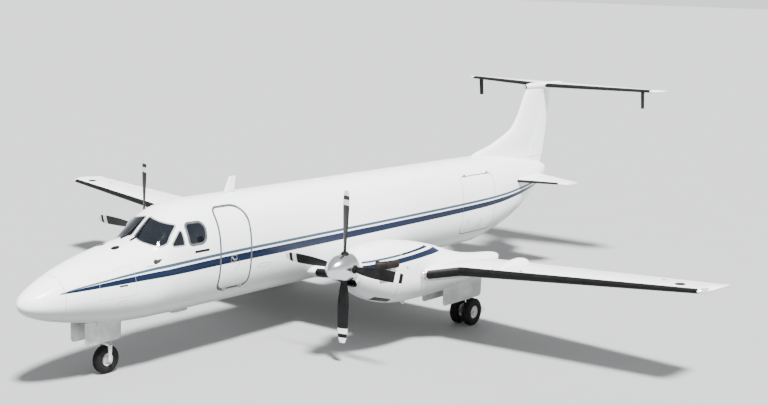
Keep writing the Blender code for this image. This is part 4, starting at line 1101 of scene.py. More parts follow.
def make_tailplane():
    half = [*run(0.0, TAIL_TIP, 0.3)]
    half += [TAIL_TIP + (TAILPLANE_HALF - TAIL_TIP) * sin(pi / 2 * k / 7) for k in range(1, 8)]
    ends = (ELEVATOR_SPAN[0] - 0.008, ELEVATOR_SPAN[1] + 0.008)
    bays = [loft([elevator_ring(side * y, 0.040, 18.3, 0.5) for y in ends]) for side, word in SIDES]
    rings = []
    for y in [-y for y in half[:0:-1]] + half:
        lead, trail, depth = tail_row(y)
        rings.append(section(lead, trail, y, TAILPLANE_Z, depth, 20))
    piece("tailplane_skin", cut(loft(rings), bays), PLAIN_PAINT, nodes=("tailplane",))
    piece("tail_bullet", bullet_mesh(), PLAIN_PAINT)
    for side, word in SIDES:
        rings = [elevator_ring(side * y, 0.032, LENGTH, 0.003) for y in run(*ELEVATOR_SPAN, 0.4)]
        pin = rod(*(place(ELEVATOR_HINGE, side * y, TAILPLANE_Z) for y in (0.11, 2.73)), 0.007, 16)
        mesh = join([loft(rings), pin])
        piece(f"elevator_skin_{word}", mesh, PLAIN_PAINT, "elevators", (f"elevator_{word}",))
        rings = []
        for z in run(TAILLET_FOOT, TAILPLANE_Z + 0.006, 0.05):
            t = (z - TAILLET_FOOT) / (TAILPLANE_Z + 0.006 - TAILLET_FOOT)
            lead, trail, depth = 16.99 - 0.07 * t, 17.16 - 0.05 * t, 0.020 + 0.006 * t
            rings.append(fin_section(z, lead, trail, depth, side * 2.40, 12))
        piece(f"taillet_{word}", loft(rings), BOOT)


def stabilon_row(t):
    """Leading edge, trailing edge, place and depth of the tail cone's strake, at a share of its span."""
    return 13.72 + 1.36 * t, 15.62 - 0.02 * t, 0.30 + 1.20 * t, 2.27 - 0.11 * t, 0.12 - 0.075 * t


def make_stabilons():
    for side, word in SIDES:
        rings = []
        for t in [*run(0.0, 0.95, 0.1), 0.975, 0.99, 1.0]:
            lead, trail, y, z, depth = stabilon_row(t)
            rings.append(section(lead, trail, side * y, z, depth, 20))
        piece(f"stabilon_{word}", loft(rings), PLAIN_PAINT)


make_fin()
make_tailplane()
make_stabilons()
print("tail made")

# %% [markdown]
# Details sit on the skins, so they need places on them. A few chosen points become a smooth run, and an
# outline seen from the side or the front is laid on the hull. A band then follows the run like a strip of
# trim.

# %% Trim helpers
def smooth_path(points, count):
    """Points on a smooth curve through a few chosen ones."""
    points = np.array(points, float)
    reach = np.concatenate([[0.0], np.cumsum(np.linalg.norm(np.diff(points, axis=0), axis=1))])
    table = np.column_stack([reach, points])
    return [Vector(p) for p in smooth_table(table, np.linspace(0.0, reach[-1], count))]


def band(points, normals, inner, outer, low, high, wrap=True):
    """A flat strip along a run on a skin, between two offsets across it and two heights off it. The offsets
    of a closed run grow away from its middle."""
    count = len(points)
    centre = sum(points, Vector()) / count
    first_across = normals[0].cross(points[1] - points[-1])
    turn = -1 if wrap and first_across.dot(points[0] - centre) < 0 else 1
    rings = []
    for i, (point, normal) in enumerate(zip(points, normals)):
        before, after = (i - 1, (i + 1) % count) if wrap else (max(i - 1, 0), min(i + 1, count - 1))
        across = turn * normal.cross(points[after] - points[before]).normalized()
        rings.append([point + across * a + normal * h for a, h in
                      ((inner, low), (inner, high), (outer, high), (outer, low))])
    return loft(rings, wrap)


def dense(outline, step=0.035, closed=True):
    """The same outline with points set closer, so that its straight runs can bend with the skin."""
    points = []
    for i, here in enumerate(outline if closed else outline[:-1]):
        after = outline[(i + 1) % len(outline)]
        count = max(1, ceil(sqrt((after[0] - here[0]) ** 2 + (after[1] - here[1]) ** 2) / step))
        points += [(here[0] + (after[0] - here[0]) * k / count, here[1] + (after[1] - here[1]) * k / count)
                   for k in range(count)]
    return points if closed else points + [outline[-1]]


def strip(hull, outline, side, half, low=-0.002, high=0.0009, closed=False):
    """A narrow band along a line on the side of a hull."""
    return band(*on_side(hull, outline, side, closed), -half, half, low, high, closed)


def on_side(hull, outline, side, closed=True):
    """An outline of (station, z) laid on the side of a hull, with the skin's normals there."""
    points = [hull.side_point(s, z, side) for s, z in dense(outline, closed=closed)]
    return points, [hull.normal_at(p) for p in points]


def on_front(hull, outline, first=2.0, last=3.4, closed=True):
    """An outline of (y, z) laid on the front of the flight deck."""
    points = []
    for y, z in dense(outline, 0.02, closed):
        low, high = first, last
        for _ in range(30):
            middle = (low + high) / 2
            outside = hull.level(np.array([[middle - LENGTH / 2, y, z]]))[0] > 1
            low, high = (middle, high) if outside else (low, middle)
        points.append(place(low, y, z))
    return points, [hull.normal_at(p) for p in points]


def rectangle(first, last, low, high, radius, steps=5):
    return rounded(((first, low), (last, low), (last, high), (first, high)), (radius,) * 4, steps)


def oval(middle, height, half_long, half_tall, count=28):
    return [(middle + half_long * cos(a), height + half_tall * sin(a)) for a in angles(count)]


def arc_line(middle, height, half_long, half_tall, degrees):
    """Part of an oval, at some angles in degrees."""
    return [(middle + half_long * cos(radians(d)), height + half_tall * sin(radians(d))) for d in degrees]


def patch(lay, outline, low, high):
    """A thin plate that fills an outline and bends with the skin that the lay function puts it on."""
    outline = dense(outline)
    m0, m1 = [sum(values) / len(outline) for values in zip(*outline)]
    rings = []
    for share, height in ((1.0, low), (1.0, high), (0.75, high), (0.5, high), (0.25, high), (0.02, high)):
        places = [lay(m0 + share * (a - m0), m1 + share * (b - m1)) for a, b in outline]
        rings.append([point + normal * height for point, normal in places])
    return loft(rings)


def side_lay(hull, side):
    def lay(station, z):
        point = hull.side_point(station, z, side)
        return point, hull.normal_at(point)
    return lay


def top_lay(hull, up=1):
    def lay(station, y):
        point = hull.top_point(station, y, up)
        return point, hull.normal_at(point)
    return lay


def studs(places, radius, height, count=10):
    """Small domed heads, each at a point and along a normal, as one mesh."""
    shape = ((-0.002, radius), (height * 0.5, radius * 0.92), (height, radius * 0.5))
    return join([turned(p, n, shape, count) for p, n in places])


print("trim helpers ready")

# %% [markdown]
# A cowling is a thin shell round the engine, open at the shaft, at the chin intake and where the exhausts
# come out. The nacelle behind it is one long fairing with the wheel well. Both are hulls, so they get the
# same fine skin. The intake's lip is rolled metal, so it is a ring swept round the mouth, and the duct
# behind it is a short black shell closed by a black sheet, which is painted shade for the deep intake.

# %% Cowlings and nacelles
FIREWALL, COWL_WALL, COWL_LIP, LIP_RADIUS = 6.70, 0.03, 0.028, 0.013
STACK_PATH = ((5.54, 0.252, 1.79), (5.55, 0.33, 1.80), (5.60, 0.40, 1.80), (5.70, 0.445, 1.80),
              (5.98, 0.475, 1.79))
STACK_RADIUS, STACK_WALL, STACK_FLATTEN = 0.074, 0.004, 0.80
WELL_SPAN, WELL_HALF, WELL_HEIGHT = (7.75, 9.42), 0.235, (0.5, 1.28)


def mouth_outline(y, grow=0.0):
    corners = ((y - 0.17 - grow, 1.43 - grow), (y + 0.17 + grow, 1.43 - grow),
               (y + 0.15 + grow, 1.545 + grow), (y - 0.15 - grow, 1.545 + grow))
    return rounded(corners, (0.05 + grow,) * 4)


def stack_path(y, out, count=18):
    return smooth_path([place(s, y + out * w, z) for s, w, z in STACK_PATH], count)


def make_cowling(side, word):
    hull, y = NACELLES[word], side * NACELLE_Y
    lip = [hull.ring(COWL_FRONT + COWL_LIP * (1 - cos(a)), COWL_LIP * (1 - sin(a)))
           for a in (pi / 2 * k / 6 for k in range(7))]
    outer = lip + hull.rings(run(5.23, FIREWALL - SEAM_GAP, 0.05))
    inner = hull.rings(run(5.225, FIREWALL - SEAM_GAP, 0.12), COWL_WALL)
    tools = [along_x(mouth_outline(y), 5.0, 5.35), rod(place(5.0, y, HUB_Z), place(5.3, y, HUB_Z), 0.085)]
    tools += [tube(stack_path(y, out), 0.088, 24, 0.85) for out in (-1, 1)]
    skin = cut(loft(outer + inner[::-1]), tools)
    piece(f"cowling_skin_{word}", fair(skin, hull), NACELLE_PAINT, nodes=(f"cowling_{word}",))
    middle = place(5.192, y, 1.487)
    rings = []
    for u, v in mouth_outline(y, 0.004):
        spot = Vector((middle.x, u, v))
        out = (spot - middle).normalized()
        rings.append([spot + LIP_RADIUS * (cos(a) * out + sin(a) * AFT) for a in angles(12)])
    piece(f"intake_lip_{word}", loft(rings, wrap=True), BOOT)
    # Painted shade: the duct is black, and a black sheet closes it, for the dark deep inside of the intake.
    duct = [[place(s, u, v) for u, v in mouth_outline(y, grow)]
            for s, grow in ((5.19, 0.005), (5.34, 0.008), (5.34, 0.002), (5.19, 0.0))]
    shade_sheet = along_x(mouth_outline(y, 0.004), 5.33, 5.345)
    piece(f"intake_duct_{word}", join([loft(duct, wrap=True), shade_sheet]), BLACK)


def make_nacelle(side, word):
    hull, y = NACELLES[word], side * NACELLE_Y
    rings = hull.rings([*run(FIREWALL + SEAM_GAP, 9.9, 0.07), 9.95, 10.0, 10.05, 10.09])
    rings += [hull.ring(10.09 + 0.03 * sin(a), 0.05 * (1 - cos(a))) for a in (0.4, 0.8, 1.15, 1.45)]
    well = block(*(place(s, y + out * WELL_HALF, z) for s, out, z in zip(WELL_SPAN, (-1, 1), WELL_HEIGHT)))
    skin = cut(loft(rings), [well])
    piece(f"nacelle_skin_{word}", fair(skin, hull), NACELLE_PAINT, nodes=(f"nacelle_{word}",))


for side, word in SIDES:
    make_cowling(side, word)
    make_nacelle(side, word)
print("cowlings and nacelles made")

# %% [markdown]
# Burnt gas leaves through two oval stacks, welded from thin steel that has turned brown. Each is a bent
# tube with a real wall, so its mouth is dark and deep. A flange and a clamp band show where it is joined.

# %% Exhaust stacks
def make_exhaust(side, word):
    y = side * NACELLE_Y
    collar = ((0, 0.2356), (0, 0.27), (0.16, 0.27), (0.16, 0.2356))
    parts = [turned(place(5.46, y, HUB_Z), AFT, collar, 48, wrap=True)]
    for out in (-1, 1):
        path = stack_path(y, out, 20)
        outer = tube_rings(path, STACK_RADIUS, 32, STACK_FLATTEN)
        inner = tube_rings(path[4:], STACK_RADIUS - STACK_WALL, 32, STACK_FLATTEN)
        parts.append(loft(outer + inner[::-1]))
        parts += [tube(path[k:k + 2], STACK_RADIUS + 0.004, 32, STACK_FLATTEN) for k in (8, 12)]
    piece(f"exhaust_stacks_{word}", join(parts), EXHAUST, nodes=(f"exhaust_{word}",))
    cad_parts[f"engine_{word}"].data.materials[0] = ENGINE


for side, word in SIDES:
    make_exhaust(side, word)
print("exhaust stacks made")

# %% [markdown]
# A blade twists, thins and changes its chord from root to tip, so it is a loft of small aerofoils, each
# turned by its own pitch. The tips carry bands in white and black, which show as rings when the propeller
# turns. The bands are a mask by distance from the shaft, and the four blades are copies of one, as on the
# real hub.

# %% Propellers
PROP_PLANE, HUB_RADIUS, HUB_FRONT, SPINNER_TIP = 5.04, 0.245, 4.93, 4.56
BLADE = ((0.10, 0.10, 0.08, 50), (0.26, 0.11, 0.07, 46), (0.45, 0.17, 0.045, 36), (0.75, 0.205, 0.028, 26),
         (1.05, 0.20, 0.018, 18), (1.28, 0.17, 0.012, 14), (1.39, 0.10, 0.008, 12))
TIP_BANDS = ((1.125, 1.225), (1.295, 1.50))


def make_blade_finish(word, y):
    """Black paint with white bands by the distance from the shaft, which stands at y."""
    material, wire, shader = new_material(f"blade_paint_{word}", "black_blade", Specular_IOR_Level=0.15)
    where, along, across, up = wire.where()
    across, up = across - y, up - HUB_Z
    reach = wire.math("SQRT", across * across + up * up)
    bands = 0.0
    for low, high in TIP_BANDS:
        on = wire.step(reach, low, low + 0.003) * wire.step(reach, high, high - 0.003)
        bands = wire.math("MAXIMUM", on, bands)
    grain = wire.group(EDGE_WEAR, {"Scale": 30.0})["Grain"]
    shade = wire.step(wire.noise(where, 5.0), 0.3, 0.7)
    black = wire.mix(shade, (0.003, 0.003, 0.0032), (0.007, 0.007, 0.0075))
    tone = wire.mix(bands, black, (0.74, 0.75, 0.74))
    chips = wire.step(wire.noise(where, 45.0, 6.0), 0.60, 0.68)
    tone = wire.mix(chips * 0.12, tone, (0.10, 0.10, 0.10))
    wire.surface(shader, tone, grain * 0.15 + 0.32, grain, 0.2)
    return material


def blade_section(reach, chord, depth, pitch, count=24):
    """A cambered section that points up from the hub, blunt at its leading edge."""
    turn = radians(pitch)
    ring = []
    for angle in angles(count):
        along = chord / 2 * cos(angle)
        across = depth / 2 * sin(angle) * (0.86 + 0.14 * cos(angle))
        ring.append(Vector((along * sin(turn) + across * cos(turn),
                            along * cos(turn) - across * sin(turn), reach)))
    return ring


def spinner_radius(share):
    return HUB_RADIUS * (1 - (1 - share) ** 1.75) ** 0.72


CUFF = ((0, 0.078), (0.024, 0.078), (0.030, 0.072), (0.030, 0.064), (0.056, 0.058))
HUB_STEPS = ((0, 0.025), (0, 0.004), (0.003, 0.0005), (0.090, 0), (0.093, 0.003), (0.098, 0.003), (0.101, 0),
             (0.226, 0.002), (0.233, 0.009), (0.235, 0.020), (0.235, 0.100))


def make_propeller(side, word):
    y, body = side * NACELLE_Y, f"propeller_body_{word}"
    shift = Matrix.Translation(place(PROP_PLANE, y, HUB_Z))
    turns = [shift @ Matrix.Rotation(pi / 2 * k, 4, "X") for k in range(4)]
    reaches = [*run(0.20, 1.28, 0.045), 1.31, 1.34, 1.36, 1.375, 1.385, 1.39]
    blade = loft([blade_section(*row) for row in rows_at(BLADE, reaches)])
    blades = join([moved(blade, turn) for turn in turns])
    piece(f"propeller_blades_{word}", blades, make_blade_finish(word, y), body, (f"propeller_{word}",))
    cuff = turned((0, 0, 0.225), UP, CUFF, 32)
    piece(f"blade_cuffs_{word}", join([moved(cuff, turn) for turn in turns]), BLACK, body)
    hub = [(along, HUB_RADIUS - under) for along, under in HUB_STEPS]
    piece(f"hub_shell_{word}", turned(place(HUB_FRONT, y, HUB_Z), AFT, hub, 96), POLISHED, body)
    length = HUB_FRONT - 0.0015 - SPINNER_TIP
    cone = [(length * t, max(0.0008, spinner_radius(t))) for t in ((k / 40) ** 1.6 for k in range(41))]
    spinner = turned(place(SPINNER_TIP, y, HUB_Z), AFT, cone, 96)
    piece(f"spinner_cone_{word}", spinner, POLISHED, body, (f"spinner_{word}",))
    edge = spinner_radius((4.905 - SPINNER_TIP) / (HUB_FRONT - SPINNER_TIP)) - 0.0005
    screws = []
    for out in (Vector((0, cos(a), sin(a))) for a in angles(24, 0.5)):
        for station, reach in ((4.905, edge), (4.95, HUB_RADIUS - 0.0007)):
            screws.append((place(station, y, HUB_Z) + out * reach, out))
    piece(f"spinner_screws_{word}", studs(screws, 0.0045, 0.0008, 8), BARE, body)


for side, word in SIDES:
    make_propeller(side, word)
print("propellers made")

# %% [markdown]
# Rubber boots on the leading edges swell in flight to crack ice off. They are a few millimetres thick and
# glued on, so each is a strip of the wing's own section, lifted off the skin and feathered to nothing along
# its edges.

# %% Boots
def skin_run(lead, trail, z, depth, shares, droop=0.0):
    """Points of a section as (x, z), from its lower side, where shares are negative, to its upper side."""
    share, chord = np.abs(shares), trail - lead
    rise = np.sign(shares) * half_depth(depth, share)
    return np.column_stack([lead - LENGTH / 2 + chord * share, z - droop * share * chord + rise])


def boot_ring(line, y, lift):
    tangent = np.gradient(line, axis=0)
    tangent /= np.linalg.norm(tangent, axis=1, keepdims=True)
    normal = np.column_stack([-tangent[:, 1], tangent[:, 0]])
    rise = np.full(len(line), lift)
    rise[[0, -1]] = 0.0
    loop = np.vstack([line + normal * rise[:, None], (line - normal * 0.003)[::-1]])
    return np.column_stack([loop[:, 0], np.full(len(loop), y), loop[:, 1]])


def boot_shares(upper, lower, chord, count=16):
    """Shares of the chord that reach a distance aft of the leading edge above it, and another below it."""
    fade = (np.arange(count + 1) / count) ** 2
    return [*(-lower / chord * fade[::-1]), *(upper / chord * fade[1:])]


def wing_strip(y, side, upper, lower, lift):
    row = wing_row(y)
    return boot_ring(skin_run(*row, boot_shares(upper, lower, row[1] - row[0]), WING_DROOP), side * y, lift)


def make_boots():
    for side, word in SIDES:
        parts = {"inner": run(0.80, 2.18, 0.2), "outer": [3.10, 3.30, 3.5, *run(3.7, 8.1, 0.4)]}
        for name, spans in parts.items():
            rings = [wing_strip(y, side, 0.065, 0.11, 0.004) for y in spans]
            piece(f"wing_boot_{name}_{word}", loft(rings), BOOT)
        rings = []
        for y in run(0.085, 2.62, 0.25):
            lead, trail, depth = tail_row(y)
            line = skin_run(lead, trail, TAILPLANE_Z, depth, boot_shares(0.17, 0.26, trail - lead))
            rings.append(boot_ring(line, side * y, 0.003))
        piece(f"tail_boot_{word}", loft(rings), BOOT)
        rings = []
        for t in run(0.22, 0.86, 0.1):
            lead, trail, y, z, depth = stabilon_row(t)
            line = skin_run(lead, trail, z, depth, boot_shares(0.09, 0.20, trail - lead))
            rings.append(boot_ring(line, side * y, 0.003))
        piece(f"stabilon_boot_{word}", loft(rings), BOOT)


make_boots()
print("boots made")

# %% [markdown]
# A frame holds each pane, with a bead of sealant inside it. The frames are thin bands laid on the hull
# round the same outlines that cut the openings, so they follow its curve. Two wipers park against the
# centre post.

# %% Window frames and wipers
PIVOT = ((0, 0.020), (0.020, 0.020), (0.028, 0.012))


def make_frames():
    for side, word in SIDES:
        looks = (("windshield", on_front(BODY, windshield_outline(side)), FRAME, 0.022),
                 ("quarter", on_side(BODY, quarter_outline(), side), FRAME, 0.018),
                 ("cockpit_window", on_side(BODY, window_outline(), side), SEAL, 0.038))
        for name, laid, material, width in looks:
            piece(f"{name}_frame_{word}", band(*laid, -0.004, width, -0.006, 0.0022), material)
            piece(f"{name}_bead_{word}", band(*laid, -0.010, -0.003, -0.007, -0.001), HOSE)


def make_wipers():
    """Each arm is bowed off the glass between its pivot, low beside the post, and its blade."""
    for side, word in SIDES:
        line = [(side * y, z) for y, z in ((0.122, 2.285), (0.100, 2.36), (0.085, 2.46))]
        points, normals = on_front(BODY, line, closed=False)
        lifts = np.interp(np.arange(len(points)), (0, 3, len(points) - 1), (0.016, 0.032, 0.020))
        arm = [p + n * h for p, n, h in zip(points, normals, lifts)]
        pivot = turned(points[0] - normals[0] * 0.01, normals[0], PIVOT, 24)
        piece(f"wiper_arm_{word}", join([tube(arm, 0.015, 10), pivot]), BLACK)
        points, normals = on_front(BODY, [(side * 0.098, 2.34), (side * 0.070, 2.61)], closed=False)
        blade = tube([p + n * 0.010 for p, n in zip(points, normals)], 0.011, 8, 0.8)
        piece(f"wiper_blade_{word}", blade, BLACK)


make_frames()
make_wipers()
print("frames and wipers made")

# %% [markdown]
# The airstair shows its seal as a grey line all round, and its handle is a bright lever in a shallow dish.
# On the inside it carries four treads, level when it has swung down. The cargo door has a plainer seam and
# two latches.

# %% Door details
AIRSTAIR_HINGE, CARGO_HINGE = place(4.22, -0.63836, 1.238), place(12.31, -0.59971, 2.562)
BARREL, LEAF, SCREW_HOLES = 0.05, 0.040, (0.014, 0.036)


def knuckles(name, hinge, up, starts, body):
    """Hinge barrels along X, each with a leaf that lies on its skin, a foot behind it and two screws."""
    parts = []
    for start in starts:
        front, back = hinge.x + start, hinge.x + start + BARREL
        low, high = sorted((hinge.z, hinge.z + up * LEAF))
        foot = hinge.z + up * 0.030
        screws = [((front + d, hinge.y - 0.006, hinge.z + up * 0.028), -RIGHT) for d in SCREW_HOLES]
        parts += [rod((front, hinge.y, hinge.z), (back, hinge.y, hinge.z), 0.008, 16, 0.001),
                  block((front, hinge.y - 0.006, low), (back, hinge.y + 0.004, high), 0.002),
                  block((front, hinge.y - 0.006, foot - 0.01), (back, hinge.y + 0.035, foot + 0.01), 0.001),
                  studs(screws, 0.004, 0.002)]
    piece(name, join(parts), BARE, body)


def make_treads():
    """Four boards that lie level when the airstair is down, each with eight grips."""
    along = Vector((0, -cos(AIRSTAIR_SWING), sin(AIRSTAIR_SWING)))
    across = Vector((0, -along.z, along.y))
    first, last = AIRSTAIR[0][0] + 0.07, AIRSTAIR[0][1] - 0.07
    front, back = first - LENGTH / 2 + 0.02, last - LENGTH / 2 - 0.02
    treads, grips = [], []
    for z in (1.42 + 0.29 * k for k in range(4)):
        foot = Vector((0, BODY.side_point(4.2, z, -1).y + WALL - 0.02, z))
        corners = (foot, foot + 0.22 * along, foot + 0.22 * along + 0.028 * across, foot + 0.028 * across)
        treads.append(along_x([(c.y, c.z) for c in corners], first, last))
        for spot in (foot + (0.05 + 0.02 * r) * along + 0.028 * across for r in range(8)):
            grips.append(rod((front, spot.y, spot.z), (back, spot.y, spot.z), 0.003, 8))
    piece("airstair_treads", join(treads), ENAMEL, "airstair")
    piece("airstair_grips", join(grips), TREAD, "airstair")


def raised(outline, inner, outer):
    """A rim of bare metal on the port side."""
    return band(*on_side(BODY, outline, -1), inner, outer, -0.002, 0.003)


def make_door_details():
    for name, door, width in (("airstair", AIRSTAIR, 0.040), ("cargo", CARGO, 0.007)):
        laid = on_side(BODY, door_outline(door, -0.0005), -1)
        piece(f"{name}_seal", band(*laid, 0.0, width, -0.004, 0.0012), SEAL)
    knuckles("airstair_sill_hinge", AIRSTAIR_HINGE, -1, (-0.25, 0.20), "airframe")
    knuckles("airstair_foot_hinge", AIRSTAIR_HINGE, 1, (-0.1995, 0.1495), "airstair")
    knuckles("cargo_header_hinge", CARGO_HINGE, 1, (-0.50, 0.45), "airframe")
    knuckles("cargo_head_hinge", CARGO_HINGE, -1, (-0.4495, 0.3995), "cargo_hatch")
    piece("handle_dish", raised(rectangle(4.085, 4.235, 1.725, 1.845, 0.05), -0.006, 0.004), BARE, "airstair")
    spots = ((4.105, 1.825), (4.12, 1.795), (4.16, 1.770), (4.225, 1.775))
    lever = [side_lay(BODY, -1)(s, z) for s, z in spots]
    lever = [point + normal * h for (point, normal), h in zip(lever, (0.008, 0.020, 0.020, 0.012))]
    piece("door_handle", tube(smooth_path(lever, 14), 0.012, 14, 0.8), BARE, "airstair")
    line = arc_line(4.18, 1.70, 0.13, 0.14, range(-85, 31, 10))
    piece("handle_line", strip(BODY, line, -1, 0.003, high=0.0012), SEAL, "airstair")
    latches = [raised(rectangle(*spot, 0.02), -0.008, 0.004)
               for spot in ((12.32, 12.44, 1.36, 1.42), (11.85, 11.93, 1.50, 1.56))]
    piece("cargo_latches", join(latches), BARE, "cargo_hatch")
    line = arc_line(12.38, 1.44, 0.11, 0.10, range(-20, 81, 10))
    piece("latch_line", strip(BODY, line, -1, 0.003, high=0.0012), SEAL, "cargo_hatch")


make_treads()
make_door_details()
print("door details made")

# %% [markdown]
# A tyre is a turned shape with a soft shoulder, a crowned tread and straight grooves. A wheel is turned
# too, but its disc has lightening holes, which are cut, and a ring of bolts and a hub cap, which are added.

# %% Wheels
NOSE_GEAR, MAIN_GEAR, TWIN_HALF = 1.80, 9.06, 0.150
NOSE_TYRE, MAIN_TYRE = (0.25, 0.17), (0.28, 0.165)
BORE_SHARE = 0.46
GROOVE = ((-0.0045, 0), (-0.003, 0.007), (0.003, 0.007), (0.0045, 0))
TYRE_SIDE = ((-0.66, 0.004), (-0.80, 0.03), (-0.90, 0.09), (-0.91, 0.12), (-0.97, 0.18), (-1.0, 0.30),
             (-1.0, 0.44), (-0.97, 0.58), (-0.92, 0.70), (-0.84, 0.82), (-0.74, 0.91), (-0.62, 0.965))
RIM_SIDE = ((-0.70, 0.34), (-0.62, 0.42), (-0.36, 0.45), (-0.26, 0.52), (-0.24, 0.74), (-0.32, 0.83),
            (-0.66, 0.88), (-0.72, 0.93), (-0.76, 0.985), (-0.70, 1.0))


def cross_pin(middle, half, radius, count=24):
    """A round bar across the aircraft, which reaches as far to both sides of its middle."""
    return rod(middle - half * RIGHT, middle + half * RIGHT, radius, count)


def mirrored(side, middle=()):
    """A profile and its mirror image, with points between them."""
    return [*side, *middle, *((-a, r) for a, r in side[::-1])]


def tyre_mesh(centre, radius, width, grooves):
    bore = radius * BORE_SHARE
    side = [(width / 2 * a, bore + (radius - bore) * r) for a, r in TYRE_SIDE]
    cuts = [(groove + a, radius - deep) for groove in grooves for a, deep in GROOVE]
    return turned(centre, RIGHT, mirrored(side, cuts), 96, wrap=True, sharp=50)


def rim_mesh(centre, radius, width, hole):
    half, bore = width * 0.46, radius * BORE_SHARE - 0.0005
    side = [(half * a, bore * r) for a, r in ((-0.68, hole / bore), *RIM_SIDE)]
    places = [Vector((sin(a), 0, cos(a))) * bore * 0.63 for a in angles(8)]
    holes = join([cross_pin(centre + p, half, bore * 0.085, 16) for p in places])
    parts = [cut(turned(centre, RIGHT, mirrored(side), 96, wrap=True), [holes])]
    between = Matrix.Rotation(pi / 8, 3, "Y")
    for out in (-RIGHT, RIGHT):
        bolts = [(centre + half * 0.25 * out + between @ p, out) for p in places]
        parts.append(studs(bolts, 0.007, 0.009, 6))
    return join(parts)


def make_wheel(node, centre, size, axle, body, grooves):
    piece(f"{node}_tread", tyre_mesh(centre, *size, grooves), TYRE, body, (f"{node}_tyre",))
    piece(f"{node}_wheel", rim_mesh(centre, *size, axle + 0.001), RIM, body, (f"{node}_rim",))


make_wheel("nose", place(NOSE_GEAR, 0, NOSE_TYRE[0]), NOSE_TYRE, 0.019, "nose_wheel", (-0.036, 0.0, 0.036))
for side, word in SIDES:
    for out, hand in ((-1, "left"), (1, "right")):
        middle = place(MAIN_GEAR, side * NACELLE_Y + out * TWIN_HALF, MAIN_TYRE[0])
        make_wheel(f"main_{word}_{hand}", middle, MAIN_TYRE, 0.028, f"main_wheels_{word}",
                   (-0.04, -0.014, 0.014, 0.04))
print("wheels made")

# %% [markdown]
# Each leg is a shock strut: an enamelled cylinder, a chromed piston below it and a pair of hinged torque
# links that keep the axle straight. A drag brace holds it fore and aft. The nose leg's collar, links and
# fork turn with the steering.

# %% Landing gear
NOSE_BARREL = ((0, 0.042), (0, 0.050), (0.004, 0.052), (0.028, 0.052), (0.030, 0.0475), (0.075, 0.0475),
               (0.078, 0.053), (0.10, 0.053), (0.103, 0.048), (0.30, 0.048), (0.31, 0.058), (0.36, 0.058),
               (0.37, 0.050), (0.639, 0.050))
MAIN_BARREL = ((0, 0.052), (0, 0.062), (0.005, 0.066), (0.035, 0.066), (0.040, 0.060), (0.10, 0.060),
               (0.105, 0.067), (0.14, 0.067), (0.145, 0.061), (0.40, 0.061), (0.42, 0.072), (0.50, 0.074),
               (0.52, 0.064), (0.659, 0.064))
MAIN_FOOT = ((0, 0.030), (0.006, 0.044), (0.03, 0.052), (0.10, 0.052), (0.12, 0.047), (0.125, 0.040))
LAMP_SHELL = ((0, 0.014), (0.012, 0.016), (0.03, 0.045), (0.055, 0.048), (0.058, 0.044))
LAMP_GLASS = ((0, 0.043), (0.004, 0.040), (0.008, 0.02), (0.009, 0.003))
FORK_ARM = ((0.54, 0.045), (0.42, 0.034), (0.32, 0.028), (0.27, 0.034), (0.235, 0.034), (0.214, 0.018))
BRAKE_LINE = ((0.92, 0.055, -0.04), (0.62, 0.060, -0.045), (0.48, 0.058, -0.060), (0.38, 0.054, -0.055),
              (0.33, 0.048, -0.03))
COLLAR = ((0, 0.0545), (0, 0.064), (0.003, 0.066), (0.036, 0.066), (0.040, 0.0545))
AXLE_NUT = ((0, 0.030), (0.006, 0.030), (0.007, 0.022), (0.020, 0.021), (0.022, 0.016))
BRAKE_DRUM = ((0, 0.032), (0, 0.088), (0.003, 0.092), (0.016, 0.092), (0.018, 0.088), (0.018, 0.032))
BRAKE_PISTON = ((-0.004, 0.017), (0.006, 0.017), (0.008, 0.013))


def bar(start, end, radius, boss):
    """A brace with a thicker boss at both ends and at its middle joint."""
    length = (end - start).length
    half = length / 2
    spots = ((0, boss), (0.05, boss), (0.07, radius), (half - 0.05, radius), (half - 0.035, boss),
             (half + 0.035, boss), (half + 0.05, radius), (length - 0.07, radius), (length - 0.05, boss),
             (length, boss))
    return turned(start, end - start, spots, 28)


def torque_link(foot, knee, wide, narrow):
    """Two arms that run together towards the knee, with cross pins."""
    parts = [tube([foot + wide * out, knee + narrow * out], [0.013, 0.009], 12, 0.6)
             for out in (-RIGHT, RIGHT)]
    middle = (foot + knee) / 2
    for spot, half in ((foot, wide + 0.012), (knee, narrow + 0.014), (middle, (wide + narrow) / 2)):
        parts.append(cross_pin(spot, half, 0.009, 14))
    return join(parts)


